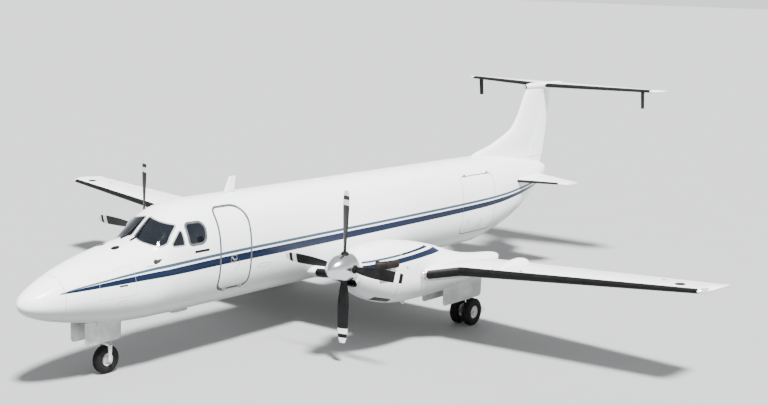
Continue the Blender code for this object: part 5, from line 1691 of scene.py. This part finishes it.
def make_nose_gear():
    def at(z, y=0.0, ahead=0.0):
        return place(NOSE_GEAR + ahead, y, z)

    leg = [turned(at(0.66), UP, NOSE_BARREL, 48), bar(at(0.86), place(1.36, 0, 1.27), 0.018, 0.026),
           cross_pin(at(1.20), 0.168, 0.035)]
    piece("nose_strut", join(leg), ENAMEL, "airframe", ("nose_leg",))
    piece("taxi_light", turned(at(0.80, 0, -0.048), -AFT, LAMP_SHELL, 32), BARE)
    piece("taxi_lens", turned(at(0.80, 0, -0.104), -AFT, LAMP_GLASS, 32), LENS)
    knee = at(0.612, 0, 0.135)
    links = [turned(at(0.692), UP, COLLAR, 48, wrap=True),
             torque_link(at(0.70, 0, 0.066), knee, 0.032, 0.014),
             torque_link(at(0.545, 0, 0.045), knee, 0.032, 0.014)]
    piece("nose_steering_links", join(links), ENAMEL, "nose_steering")
    corners = ((-0.05, -0.128), (0.05, -0.128), (0.05, 0.128), (-0.05, 0.128))
    crown = [[at(z, y * w, x * w) for x, y in rounded(corners, (0.03,) * 4, 6)]
             for z, w in ((0.510, 0.96), (0.514, 1.0), (0.540, 1.0), (0.556, 0.70), (0.566, 0.45))]
    arms = [loft(crown), turned(at(0.545), UP, ((0, 0.045), (0.03, 0.040), (0.113, 0.037)), 40)]
    for side, word in SIDES:
        near, far = side * 0.101, side * 0.128
        rings = []
        for z, w in FORK_ARM:
            corners = ((-w, near), (w, near), (w, far), (-w, far))
            rings.append([at(z, y, x) for x, y in rounded(corners, (0.008,) * 4, 4)])
        arms += [loft(rings), turned(at(0.25, side * 0.126), side * RIGHT, AXLE_NUT, 6)]
    arms.append(cross_pin(at(0.25), 0.128, 0.019))
    piece("nose_fork_forging", join(arms), ENAMEL, "nose_steering", ("nose_fork",))


def make_main_gear(side, word):
    def at(z, y=0.0, behind=0.0):
        return place(MAIN_GEAR + behind, side * NACELLE_Y + y, z)

    knee = at(0.485, 0, 0.175)
    leg = [turned(at(0.62), UP, MAIN_BARREL, 48),
           bar(at(0.76), place(8.30, side * NACELLE_Y, 1.24), 0.022, 0.032),
           cross_pin(at(1.16), 0.233, 0.045), turned(at(0.235), UP, MAIN_FOOT, 40),
           cross_pin(at(0.28), 0.235, 0.0275),
           torque_link(at(0.66, 0, 0.066), knee, 0.036, 0.016),
           torque_link(at(0.33, 0, 0.050), knee, 0.036, 0.016)]
    piece(f"main_strut_{word}", join(leg), ENAMEL, "airframe", (f"main_leg_{word}",))
    piece(f"main_piston_{word}", rod(at(0.34), at(0.63), 0.044, 40), CHROME)
    brakes, hoses = [], []
    for out in (-1, 1):
        brakes.append(turned(at(0.28, out * 0.050), out * RIGHT, BRAKE_DRUM, 40))
        for a in (1.9, 2.7, 3.6, 4.4):
            spot = at(0.28 + 0.066 * cos(a), out * 0.051, 0.066 * sin(a))
            brakes.append(turned(spot, -out * RIGHT, BRAKE_PISTON, 16))
        line = smooth_path([at(z, out * y, x) for z, y, x in BRAKE_LINE], 24)
        hoses.append(tube(line, 0.0055, 8))
    piece(f"brakes_{word}", join(brakes), BARE)
    piece(f"brake_lines_{word}", join(hoses), HOSE)


def make_gear_doors():
    """Doors that hang beside the wells, each with a raised rim and ribs on its inner face."""
    looks = [("nose", 0.0, 0.178, 0.190, (1.20, 1.98), (0.62, 1.02))]
    looks += [(f"main_{word}", side * NACELLE_Y, 0.242, 0.256, (7.85, 9.20), (0.62, 1.06))
              for side, word in SIDES]
    for name, middle, near, far, (first, last), (low, high) in looks:
        corners = ((first, low), (last, low), (last, high), (first, high))
        outline = [(s - LENGTH / 2, z) for s, z in rounded(corners, (0.08, 0.08, 0.01, 0.01), 6)]
        frame_line = rectangle(first + 0.05, last - 0.05, low + 0.05, high - 0.10, 0.05)
        inner = [(s - LENGTH / 2, z) for s, z in frame_line]
        for out, hand in ((-1, "left"), (1, "right")):
            face, back, rib = middle + out * far, middle + out * near, middle + out * (near - 0.004)
            parts = [prism(outline, "Y", back, face), prism(inner, "Y", rib, back)]
            y0, y1 = sorted((rib, middle + out * (near - 0.010)))
            for s in np.linspace(first + 0.15, last - 0.15, 4):
                corner = place(s + 0.012, y1, high - 0.12)
                parts.append(block(place(s - 0.012, y0, low + 0.07), corner, 0.002))
            piece(f"{name}_gear_door_{hand}", join(parts), PLAIN_PAINT)


make_nose_gear()
for side, word in SIDES:
    make_main_gear(side, word)
make_gear_doors()
print("landing gear made")

# %% [markdown]
# The flight deck shows only through the glass, but it is close to the eye in a side view. It has a panel
# with a hood, six dials before each pilot, a screen and small gauges between them, two yokes, and a
# pedestal with six levers.

# %% Flight deck
PANEL_FOOT, PANEL_HEAD = (2.36, 1.62), (2.42, 2.04)
BIG_DIAL, SMALL_DIAL = 0.036, 0.019
YOKE = ((-0.145, 1.885), (-0.140, 1.82), (-0.10, 1.785), (0.0, 1.795), (0.10, 1.785), (0.140, 1.82),
        (0.145, 1.885))
SEAT_Y = 0.33


def on_panel(y, z, out=0.0):
    """A place on the slanted face of the panel."""
    share = (z - PANEL_FOOT[1]) / (PANEL_HEAD[1] - PANEL_FOOT[1])
    return place(PANEL_FOOT[0] + share * (PANEL_HEAD[0] - PANEL_FOOT[0]) + out, y, z)


def make_panel():
    corners = ((2.36, 1.62), (2.42, 2.04), (2.40, 2.06), (2.28, 2.03), (2.22, 1.62))
    outline = rounded(corners, (0.02, 0.005, 0.008, 0.02, 0.02), 4)
    hood = [[place(s, y, z + 0.012 * cos(y * 3.2))
             for s, z in ((2.26, 2.030), (2.475, 2.046), (2.480, 2.054), (2.26, 2.042))]
            for y in run(-0.455, 0.455, 0.05)]
    parts = [prism([(s - LENGTH / 2, z) for s, z in outline], "Y", -0.45, 0.45), loft(hood),
             block(place(2.28, -0.11, 1.2005), place(2.86, 0.11, 1.655), 0.012)]
    piece("flight_panel", join(parts), PANEL, "airframe", ("instrument_panel",))


def make_dials():
    """Big dials before each pilot and small ones between them, with bezels, needles and ticks."""
    facing = (on_panel(0, 1.62) - on_panel(0, 2.04)).cross(RIGHT).normalized()
    facing = facing if facing.x > 0 else -facing
    spots = [(side * 0.30 + dy, z, BIG_DIAL)
             for side in (-1, 1) for dy in (-0.085, 0.0, 0.085) for z in (1.94, 1.85)]
    spots += [(0.025 + 0.05 * k, z, SMALL_DIAL) for k in range(-3, 3) for z in (1.985, 1.935)]
    bezels, faces, marks = [], [], []
    for k, (y, z, r) in enumerate(spots):
        ring = ((-0.002, r), (0.006, r), (0.006, r - 0.005), (-0.002, r - 0.005))
        bezels.append(turned(on_panel(y, z), facing, ring, 28, wrap=True))
        faces.append(turned(on_panel(y, z), facing, ((-0.001, r - 0.005), (0.002, r - 0.005)), 28))
        turn = 0.9 * k
        tip = on_panel(y + (r - 0.010) * sin(turn), z + (r - 0.010) * cos(turn))
        marks.append(tube([on_panel(y, z) + facing * 0.003, tip + facing * 0.003], [0.0022, 0.001], 6))
        for tick in angles(12):
            ends = [on_panel(y + reach * sin(tick), z + reach * cos(tick)) for reach in (0.68 * r, 0.80 * r)]
            marks.append(tube([end + facing * 0.0025 for end in ends], 0.0008, 4))
    piece("dial_bezels", join(bezels), BLACK)
    piece("dial_faces", join(faces), PANEL)
    piece("dial_marks", join(marks), FRAME)


def make_controls():
    piece("radio_stack", block(on_panel(-0.075, 1.70, -0.006), on_panel(0.075, 1.88, 0.004), 0.003), BLACK)
    yokes, levers, knobs = [], [], []
    for y in (-SEAT_Y, SEAT_Y):
        horn = [place(2.60, y + dy, z) for dy, z in YOKE]
        yokes += [tube(smooth_path(horn, 30), 0.014, 12),
                  rod(place(2.39, y, 1.80), place(2.60, y, 1.80), 0.018),
                  block(place(2.585, y - 0.035, 1.775), place(2.615, y + 0.035, 1.825), 0.006)]
    for k in range(6):
        y = (k - 2.5) * 0.030
        top = place(2.50 + 0.05 * (k // 2), y, 1.745)
        levers.append(tube([place(2.55 + 0.04 * (k // 2), y, 1.64), top], 0.005, 8))
        knobs.append(turned(top, UP, ((-0.012, 0.008), (-0.004, 0.013), (0.008, 0.013), (0.014, 0.006)), 16))
    piece("yokes", join(yokes), BLACK)
    piece("levers", join(levers), BARE)
    piece("lever_knobs", join(knobs), BLACK)


make_panel()
make_dials()
make_controls()
print("flight deck made")

# %% [markdown]
# A cushion is soft, so it is grown and not drawn: a beveled slab is remeshed to small squares, and a cloth
# simulation with air pressure swells it between its edges. The movement is capped, the result is applied,
# and the sewn welt is a cord along its edge. Each seat's three cushions are made once and copied to the
# other side of the flight deck.

# %% Pilot seats
CUSHION_CAP, CUSHION_VOXEL, CLOTH_FRAMES = 0.014, 0.009, 20
PADS = (("seat_pad", 1.0, (2.875, 3.20, 0.178, 1.575, 1.670)),
        ("back_pad", 0.9, (3.215, 3.275, 0.178, 1.69, 2.14)),
        ("head_pad", 0.8, (3.222, 3.268, 0.092, 2.20, 2.375)))
SEAT_FRAME = (((2.86, -0.20, 1.545), (3.24, 0.20, 1.565), 0.006),
              ((3.283, -0.195, 1.60), (3.309, 0.195, 2.19), 0.010),
              ((2.97, -0.12, 1.2005), (3.18, 0.12, 1.55), 0.02),
              ((2.90, -0.15, 1.2003), (3.26, -0.13, 1.225), 0.003),
              ((2.90, 0.13, 1.2003), (3.26, 0.15, 1.225), 0.003))


def swell(mesh):
    item = bpy.data.objects.new("cushion_work", mesh)
    scene.collection.objects.link(item)
    remesh = item.modifiers.new("remesh", "REMESH")
    remesh.mode = "VOXEL"
    remesh.voxel_size = CUSHION_VOXEL
    start = evaluated(item)
    item.modifiers.clear()
    item.data = start
    cloth = item.modifiers.new("cloth", "CLOTH")
    cloth.settings.use_pressure = True
    cloth.settings.uniform_pressure_force = 4.0
    cloth.settings.effector_weights.gravity = 0.0
    cloth.point_cache.frame_end = CLOTH_FRAMES
    for number in range(1, CLOTH_FRAMES + 1):
        scene.frame_set(number)
    for vert, swollen in zip(start.vertices, evaluated(item).vertices):
        shift = swollen.co - vert.co
        vert.co += shift.normalized() * min(shift.length, CUSHION_CAP)
    item.modifiers.clear()
    scene.frame_set(1)
    item.modifiers.new("smooth", "SMOOTH").iterations = 3
    item.modifiers.new("finer", "SUBSURF").levels = 1
    result = evaluated(item)
    bpy.data.objects.remove(item)
    result.shade_smooth()
    return result


def make_seats():
    pads = []
    for name, fill, (first, last, half, low, high) in PADS:
        pads.append((name, fill, swell(block(place(first, -half, low), place(last, half, high), 0.025))))
    welt = rectangle(2.862, 3.214, -0.190, 0.190, 0.05, 8)
    for side, word in SIDES:
        y = side * SEAT_Y
        for name, fill, mesh in pads:
            item = piece(f"{name}_{word}", moved(mesh, Matrix.Translation((0, y, 0))), SEAT)
        path = [place(s, y + dy, 1.622) for s, dy in welt]
        rings = []
        for i, point in enumerate(path):
            across = (point - path[i - 1]).normalized().cross(UP)
            rings.append([point + 0.005 * sin(a) * UP + across * 0.005 * cos(a) for a in angles(8)])
        parts = [block(place(s0, y + y0, z0), place(s1, y + y1, z1), bevel)
                 for (s0, y0, z0), (s1, y1, z1), bevel in SEAT_FRAME]
        parts += [rod(place(3.296, y + dy, 2.17), place(3.25, y + dy, 2.24), 0.007) for dy in (-0.05, 0.05)]
        piece(f"seat_frame_{word}", join(parts), PANEL, "airframe", (f"pilot_seat_{word}",))
        piece(f"seat_welt_{word}", loft(rings, wrap=True), SEAT)


make_seats()
print("pilot seats made")

# %% [markdown]
# A door that opens shows the inside of the wall, which is lined with pale panels on a real aircraft, not
# painted like the outside. The lining is the hull's own section again, a little further in, with larger
# openings than the doors'. The floor gets a worn grey finish and two rails that hold the freight.

# %% Cabin lining
LINING_INSET, LINING_DEPTH = 0.052, 0.005


def lining(first, last, step):
    return layer(run(first, last, step), LINING_INSET, LINING_DEPTH, 64)


def make_lining():
    cabin = cut(lining(3.72, 13.10, 0.24), [door_tool(door, -0.012) for name, door, body in DOORS])
    piece("cabin_lining", cabin, TRIM)
    tools = [window_tools(side, 0.015) for side, word in SIDES]
    windows = [item["windshield"] for item in tools]
    windows += [item[name] for item in tools for name in ("quarter_window", "cockpit_window")]
    piece("deck_lining", cut(lining(2.12, 3.68, 0.08), windows), TRIM)
    for name, door, body in DOORS:
        inside = lining(door[0][0] - 0.1, door[0][1] + 0.1, 0.08)
        piece(f"{body}_lining", cut(inside, [door_tool(door, 0.035)], "INTERSECT"), TRIM, body)
    rails = [block(place(3.85, y - 0.022, 1.2003), place(13.00, y + 0.022, 1.212), 0.003)
             for y in (-0.36, 0.36)]
    piece("floor_rails", join(rails), BARE)
    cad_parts["cabin_floor"].data.materials[0] = FLOOR_GREY


make_lining()
print("cabin lined")

# %% [markdown]
# Small fittings break up a big smooth skin and show its scale: panel lines, vents, an aerial, a wind vane,
# two pitot heads. Painted marks would vanish in a side light, so each is a thin mesh: a strip or plate laid
# on the hull, or a small lofted or turned shape that stands on it.

# %% Fuselage fittings
PANEL_LINE = 0.0022
ROOF_AERIAL = ((4.62, 4.90), (4.77, 4.95), 3.155)
VANE_BASE = ((0, 0.045), (0.006, 0.045), (0.012, 0.028), (0.036, 0.012))
BEACON_DOME = ((-0.004, 0.034), (0.012, 0.034), (0.028, 0.030), (0.040, 0.020), (0.046, 0.006))
BEACON_RING = ((-0.006, 0.030), (-0.006, 0.044), (0.006, 0.044), (0.010, 0.036), (0.010, 0.030))


def blade_aerial(foot, tip, low, high, depth, y=0.0):
    """A thin swept blade between two heights; foot and tip each give a leading and a trailing edge."""
    rings = []
    for t in run(0.0, 1.0, 0.1):
        lead, trail = (a + t * (b - a) for a, b in zip(foot, tip))
        rings.append(fin_section(low + t * (high - low), lead, trail, depth * (1 - 0.4 * t), y, 14))
    return loft(rings)


def make_panel_lines():
    """Lines round the access doors, the radome's joint seam, and vent slots as black plates of painted shade.
    """
    lines, slots = [], []
    bay = rounded(((1.19, 1.48), (1.91, 1.48), (1.88, 1.995), (1.22, 1.868)), (0.03,) * 4, 4)
    for side in (-1, 1):
        for outline, half in ((bay, PANEL_LINE), (oval(4.985, 1.548, 0.185, 0.036), 0.006),
                              (rectangle(1.56, 1.74, 1.30, 1.42, 0.02), PANEL_LINE)):
            lines.append(strip(BODY, outline, side, half, closed=True))
        # Vent slots are black plates on the skin: painted shade inside the openings.
        for spot in ((3.187, 3.538, 2.020, 2.064, 0.012), (1.57, 1.73, 1.655, 1.682, 0.008)):
            slots.append(patch(side_lay(BODY, side), rectangle(*spot), -0.003, 0.0015))
        slots.append(patch(top_lay(BODY), oval(1.86, side * 0.173, 0.088, 0.056), -0.003, 0.002))
    lines.append(layer((0.616, 0.624), -0.0006, 0.0046))
    piece("panel_lines", join(lines), LINE_GREY)
    piece("vent_slots", join(slots), BLACK)


def make_probes():
    """A wind vane, a static plate and a side probe on each side of the nose, and a pitot head below it."""
    vanes, heads, plates = [], [], []
    for side in (-1, 1):
        lay = side_lay(BODY, side)
        foot, facing = lay(2.36, 1.974)
        vanes.append(turned(foot - facing * 0.003, facing, VANE_BASE, 24))
        vanes.append(loft([[foot + facing * (0.030 + w) + Vector((u, 0, v))
                            for u, v in ((-0.02, -0.020), (0.115, -0.045), (0.125, 0.030), (-0.02, 0.020))]
                           for w in (-0.002, 0.002)]))
        plates.append(patch(lay, rectangle(2.15, 2.30, 1.915, 1.925, 0.004), -0.003, 0.0015))
        foot, facing = lay(3.063, 1.162)
        heads.append(rod(foot - facing * 0.01, foot + facing * 0.012, 0.018, 20))
        heads.append(rod(foot + facing * 0.010, foot + facing * 0.030, 0.008, 14))
        root, down = top_lay(BODY, -1)(1.35, side * 0.30)
        knee = root + down * 0.085
        bend = [root - down * 0.01, root + down * 0.06, knee - 0.02 * AFT, knee - 0.15 * AFT]
        heads.append(tube(smooth_path(bend, 18), 0.010, 12))
        heads.append(turned(root - down * 0.003, down, ((0, 0.030), (0.005, 0.030), (0.008, 0.022)), 20))
    piece("wind_vanes", join(vanes), VANE)
    piece("pitot_heads", join(heads), BARE)
    piece("static_plates", join(plates), BARE)


def make_aerials():
    foot, tip, top = ROOF_AERIAL
    piece("aerials", blade_aerial(foot, tip, 2.845, top, 0.030), PLAIN_PAINT)
    feet = [patch(top_lay(BODY), rectangle(4.60, 4.93, -0.028, 0.028, 0.025), -0.003, 0.003),
            block(place(3.24, -0.14, 0.820), place(3.60, 0.14, 0.885), 0.012)]
    piece("aerial_feet", join(feet), FRAME)
    domes = [patch(top_lay(BODY), oval(s, 0.0, 0.10, 0.045), -0.003, 0.012) for s in (7.35, 8.45)]
    piece("roof_domes", join(domes), PLAIN_PAINT)


def make_beacon():
    """The red flashing lamp on the belly, a glass dome on a ring."""
    spot, down = top_lay(BODY, -1)(6.10, 0.0)
    piece("belly_beacon", turned(spot, down, BEACON_DOME, 28), RED_LENS)
    piece("belly_beacon_ring", turned(spot, down, BEACON_RING, 28, wrap=True), BARE)


make_panel_lines()
make_probes()
make_aerials()
make_beacon()
print("fuselage fittings made")

# %% [markdown]
# The cowling is built from panels with pressed ribs, and a darker grey plate sits below each stack. Cooling
# air enters by a slot low on each side, drawn as a black plate whose black is painted shade inside the
# opening. The grey plate and the ribs are strips on the hull, and the drains are short bent pipes.

# %% Nacelle fittings
STACK_PLATE = rectangle(5.60, 5.88, 1.46, 1.705, 0.03)
INLET_SLOT = rounded(((5.63, 1.115), (6.08, 1.015), (6.10, 1.075), (5.62, 1.190)), (0.025,) * 4, 5)
COWL_SCREWS = ((5.42, 1.60), (6.45, 1.60), (6.45, 1.30), (6.45, 1.86), (5.42, 1.95))


def make_nacelle_fittings(side, word):
    hull, y = NACELLES[word], side * NACELLE_Y
    stack_plates, slots, ribs, drains = [], [], [], []
    for out in (-1, 1):
        lay = side_lay(hull, out)
        # A plate of darker grey below the stack.
        stack_plates.append(patch(lay, STACK_PLATE, -0.003, 0.0015))
        # Black plates on the skin: the cooling slot's black is painted shade inside the opening.
        for outline in (INLET_SLOT, oval(6.381, 1.65, 0.020, 0.016, 20)):
            slots.append(patch(lay, outline, -0.003, 0.002))
        for station in (6.06, 6.23):
            ribs.append(strip(hull, [(station, z) for z in run(1.15, 1.73, 0.05)], out, 0.022, -0.003, 0.004))
        for first, z in ((5.98, 1.30), (5.98, 1.42), (5.30, 1.92)):
            ribs.append(strip(hull, [(first, z), (6.66, z)], out, PANEL_LINE))
        ribs.append(studs([lay(s, z) for s, z in COWL_SCREWS], 0.012, 0.0015, 16))
        drain, down = top_lay(hull, -1)(6.58, out * 0.16)
        bend = [drain - down * 0.01, drain + down * 0.03, drain + down * 0.05 + 0.04 * AFT]
        drains.append(tube(smooth_path(bend, 10), 0.009, 10))
    belly = top_lay(hull, -1)(6.84, 0.0)[0].z
    ribs.append(blade_aerial((6.78, 6.90), (6.84, 6.92), belly + 0.01, belly - 0.08, 0.014, y))
    piece(f"grey_stack_plates_{word}", join(stack_plates), PLATE_GREY)
    piece(f"cooling_slots_{word}", join(slots), BLACK)
    piece(f"cowling_ribs_{word}", join(ribs), NACELLE_PAINT)
    piece(f"nacelle_drains_{word}", join(drains), BARE)


for side, word in SIDES:
    make_nacelle_fittings(side, word)
print("nacelle fittings made")

# %% [markdown]
# The wing carries a long blister over the aileron's control rod, a landing lamp in its root, a clear lamp
# at each tip, fuel caps and thin static wicks. The blister is a loft of half ellipses whose feet are sunk
# in the wing.

# %% Wing fittings
BLISTER_Y, BLISTER_FOOT = 4.30, 1.56
BLISTER = ((7.52, 0.02, 1.64), (7.66, 0.09, 1.70), (7.90, 0.14, 1.745), (8.20, 0.16, 1.76),
           (8.45, 0.12, 1.72), (8.59, 0.04, 1.64))
WING_LAMP = ((0, 0.078), (0.045, 0.074), (0.066, 0.055), (0.074, 0.030), (0.076, 0.004))
WING_LAMP_RING = ((0, 0.074), (0, 0.090), (0.040, 0.088), (0.052, 0.080), (0.050, 0.070))
FUEL_CAP = ((0, 0.045), (0.005, 0.045), (0.006, 0.040), (0.0045, 0.036))
CAP_MARK = ((0, 0.098), (0.005, 0.098), (0.0065, 0.094), (0.0065, 0.050), (0.010, 0.046), (0.010, 0.006))
ICE_PEG = ((0, 0.009), (0.040, 0.008), (0.050, 0.005))
BULLET_CAP = ((0, 0.046), (0.012, 0.044), (0.026, 0.034), (0.033, 0.016), (0.035, 0.003))
TAIL_LAMP = ((0, 0.045), (0.02, 0.043), (0.045, 0.032), (0.055, 0.012), (0.057, 0.002))


def on_wing(station, y, side):
    """A place on the wing's upper skin."""
    middle, rise = wing_middle(station, y, side)
    return middle + rise * UP


def make_wing_fittings(side, word):
    rings = []
    for s, half, crown in rows_at(BLISTER, run(BLISTER[0][0], BLISTER[-1][0], 0.05)):
        rise = crown - BLISTER_FOOT
        rings.append([place(s, side * BLISTER_Y + half * cos(a), BLISTER_FOOT + rise * sin(a))
                      for a in (pi * k / 18 for k in range(19))])
    piece(f"wing_blister_{word}", loft(rings), WING_PAINT)
    lamp = place(6.862, side * 3.04, 1.434)
    piece(f"landing_lamp_{word}", turned(lamp, -AFT, WING_LAMP, 32), LAMP_WARM)
    piece(f"landing_lamp_ring_{word}", turned(lamp, -AFT, WING_LAMP_RING, 32, wrap=True), BARE)
    tip = [wing_strip(y, side, 0.11, 0.11, 0.003) for y in run(8.14, 8.235, 0.02)]
    piece(f"tip_lamp_{word}", loft(tip), LENS)
    caps = [on_wing(s, y, side) - 0.003 * UP for s, y in ((8.20, 7.30), (7.60, 4.75))]
    piece(f"fuel_caps_{word}", join([turned(cap, UP, FUEL_CAP, 28) for cap in caps]), BARE)
    along = on_wing(8.03, 7.70, side) - on_wing(7.93, 7.70, side)
    across = on_wing(7.98, 7.75, side) - on_wing(7.98, 7.65, side)
    facing = (side * along.cross(across)).normalized()
    mark = on_wing(7.98, 7.70, side) - facing * 0.003
    piece(f"cap_mark_{word}", turned(mark, facing, CAP_MARK, 32), BLACK)
    peg = on_wing(wing_row(4.20)[0] + 0.04, 4.20, side)
    piece(f"ice_peg_{word}", turned(peg - 0.01 * UP, UP, ICE_PEG, 12), BLACK)
    wicks = []
    for y in (6.0, 6.6, 7.2, 7.8):
        end = wing_middle(wing_row(y)[1], y, side)[0] - 0.01 * AFT
        wicks.append(tube([end, end + Vector((0.13, 0, -0.004))], [0.003, 0.0012], 6))
    piece(f"static_wicks_{word}", join(wicks), BLACK, f"aileron_body_{word}")


def make_tail_fittings():
    piece("bullet_cap", turned(place(15.355, 0, 4.441), -AFT, BULLET_CAP, 28), BLACK)
    piece("tail_lamp", turned(place(16.318, 0, 2.33), AFT, TAIL_LAMP, 28), LENS)


for side, word in SIDES:
    make_wing_fittings(side, word)
make_tail_fittings()
print("wing and tail fittings made")

# %% [markdown]
# A wheel well isn't an empty box: frames cross it and pipes run along its roof. They show only from below,
# so a few ribs, stringers and two pipes in each well are enough.

# %% Wheel wells
def make_well(name, middle, half, span, roof):
    frames, pipes = [], []

    def member(s, reach, low, high, y0, y1):
        frames.append(block(place(s - reach, y0, roof - low), place(s + reach, y1, roof - high), 0.003))

    for s in np.linspace(span[0] + 0.12, span[1] - 0.12, 5):
        member(s, 0.012, 0.045, 0.001, middle - half, middle + half)
        for out in (-1, 1):
            near, far = middle + out * (half - 0.030), middle + out * (half - 0.001)
            member(s, 0.010, 0.26, 0.04, min(near, far), max(near, far))
    piece(f"well_frames_{name}", join(frames), ENAMEL)
    for share, radius in ((0.55, 0.010), (0.68, 0.007)):
        path = [place(s, middle + share * half + 0.012 * sin(7 * s), roof - 0.055)
                for s in run(span[0] + 0.02, span[1] - 0.02, 0.1)]
        pipes.append(tube(path, radius, 10))
    piece(f"well_pipes_{name}", join(pipes), HOSE)


make_well("nose", 0.0, 0.168, (1.19, 1.99), 1.295)
for side, word in SIDES:
    make_well(word, side * NACELLE_Y, WELL_HALF - 0.002, WELL_SPAN, WELL_HEIGHT[1] - 0.002)
print("wheel wells dressed")

# %% [markdown]
# The floor is a pale sheet that isn't part of the aircraft. It runs to the horizon, so no edge shows behind
# the wings. Area lights would have to be huge beside a seventeen metre aircraft. A wide sun and a sky that is
# brightest low down give the same soft shadows, and long even reflections in the paint.

# %% Stage and light
SUN_FROM, SUN_SIZE, SUN_STRENGTH = Vector((-0.30, -0.46, 1.0)), 9.0, 15.0
SKY_LOW, SKY_HIGH = 1.28, 0.70


def make_floor():
    reach = 2500.0
    corners = [(-reach, -reach, 0), (reach, -reach, 0), (reach, reach, 0), (-reach, reach, 0)]
    floor = mesh_from(corners, [(0, 1, 2, 3)])
    material, wire, shader = new_material("floor_white", None, Specular_IOR_Level=0.2)
    tone = wire.mix(wire.noise(wire.where()[0], 0.6, 3.0), (0.325, 0.33, 0.33), (0.345, 0.349, 0.349))
    wire.surface(shader, tone, 0.8)
    floor.materials.append(material)
    item = bpy.data.objects.new("floor", floor)
    scene.collection.objects.link(item)


def make_light():
    world = bpy.data.worlds.new("sky")
    world.use_nodes = True
    wire, background = Wiring(world.node_tree), world.node_tree.nodes["Background"]
    up = wire.out("SeparateXYZ", 2, {0: wire.out("TexCoord", "Generated")})
    wire.feed(wire.step(up, 0.10, 0.60) * (SKY_HIGH - SKY_LOW) + SKY_LOW, background.inputs["Strength"])
    background.inputs["Color"].default_value = (0.97, 0.985, 1.0, 1.0)
    scene.world = world
    data = bpy.data.lights.new("sun", "SUN")
    data.energy, data.angle = SUN_STRENGTH, radians(SUN_SIZE)
    sun = bpy.data.objects.new("sun", data)
    scene.collection.objects.link(sun)
    sun.rotation_mode = "QUATERNION"
    sun.rotation_quaternion = (-SUN_FROM).to_track_quat("-Z", "Y")


make_floor()
make_light()
print("stage and light made")
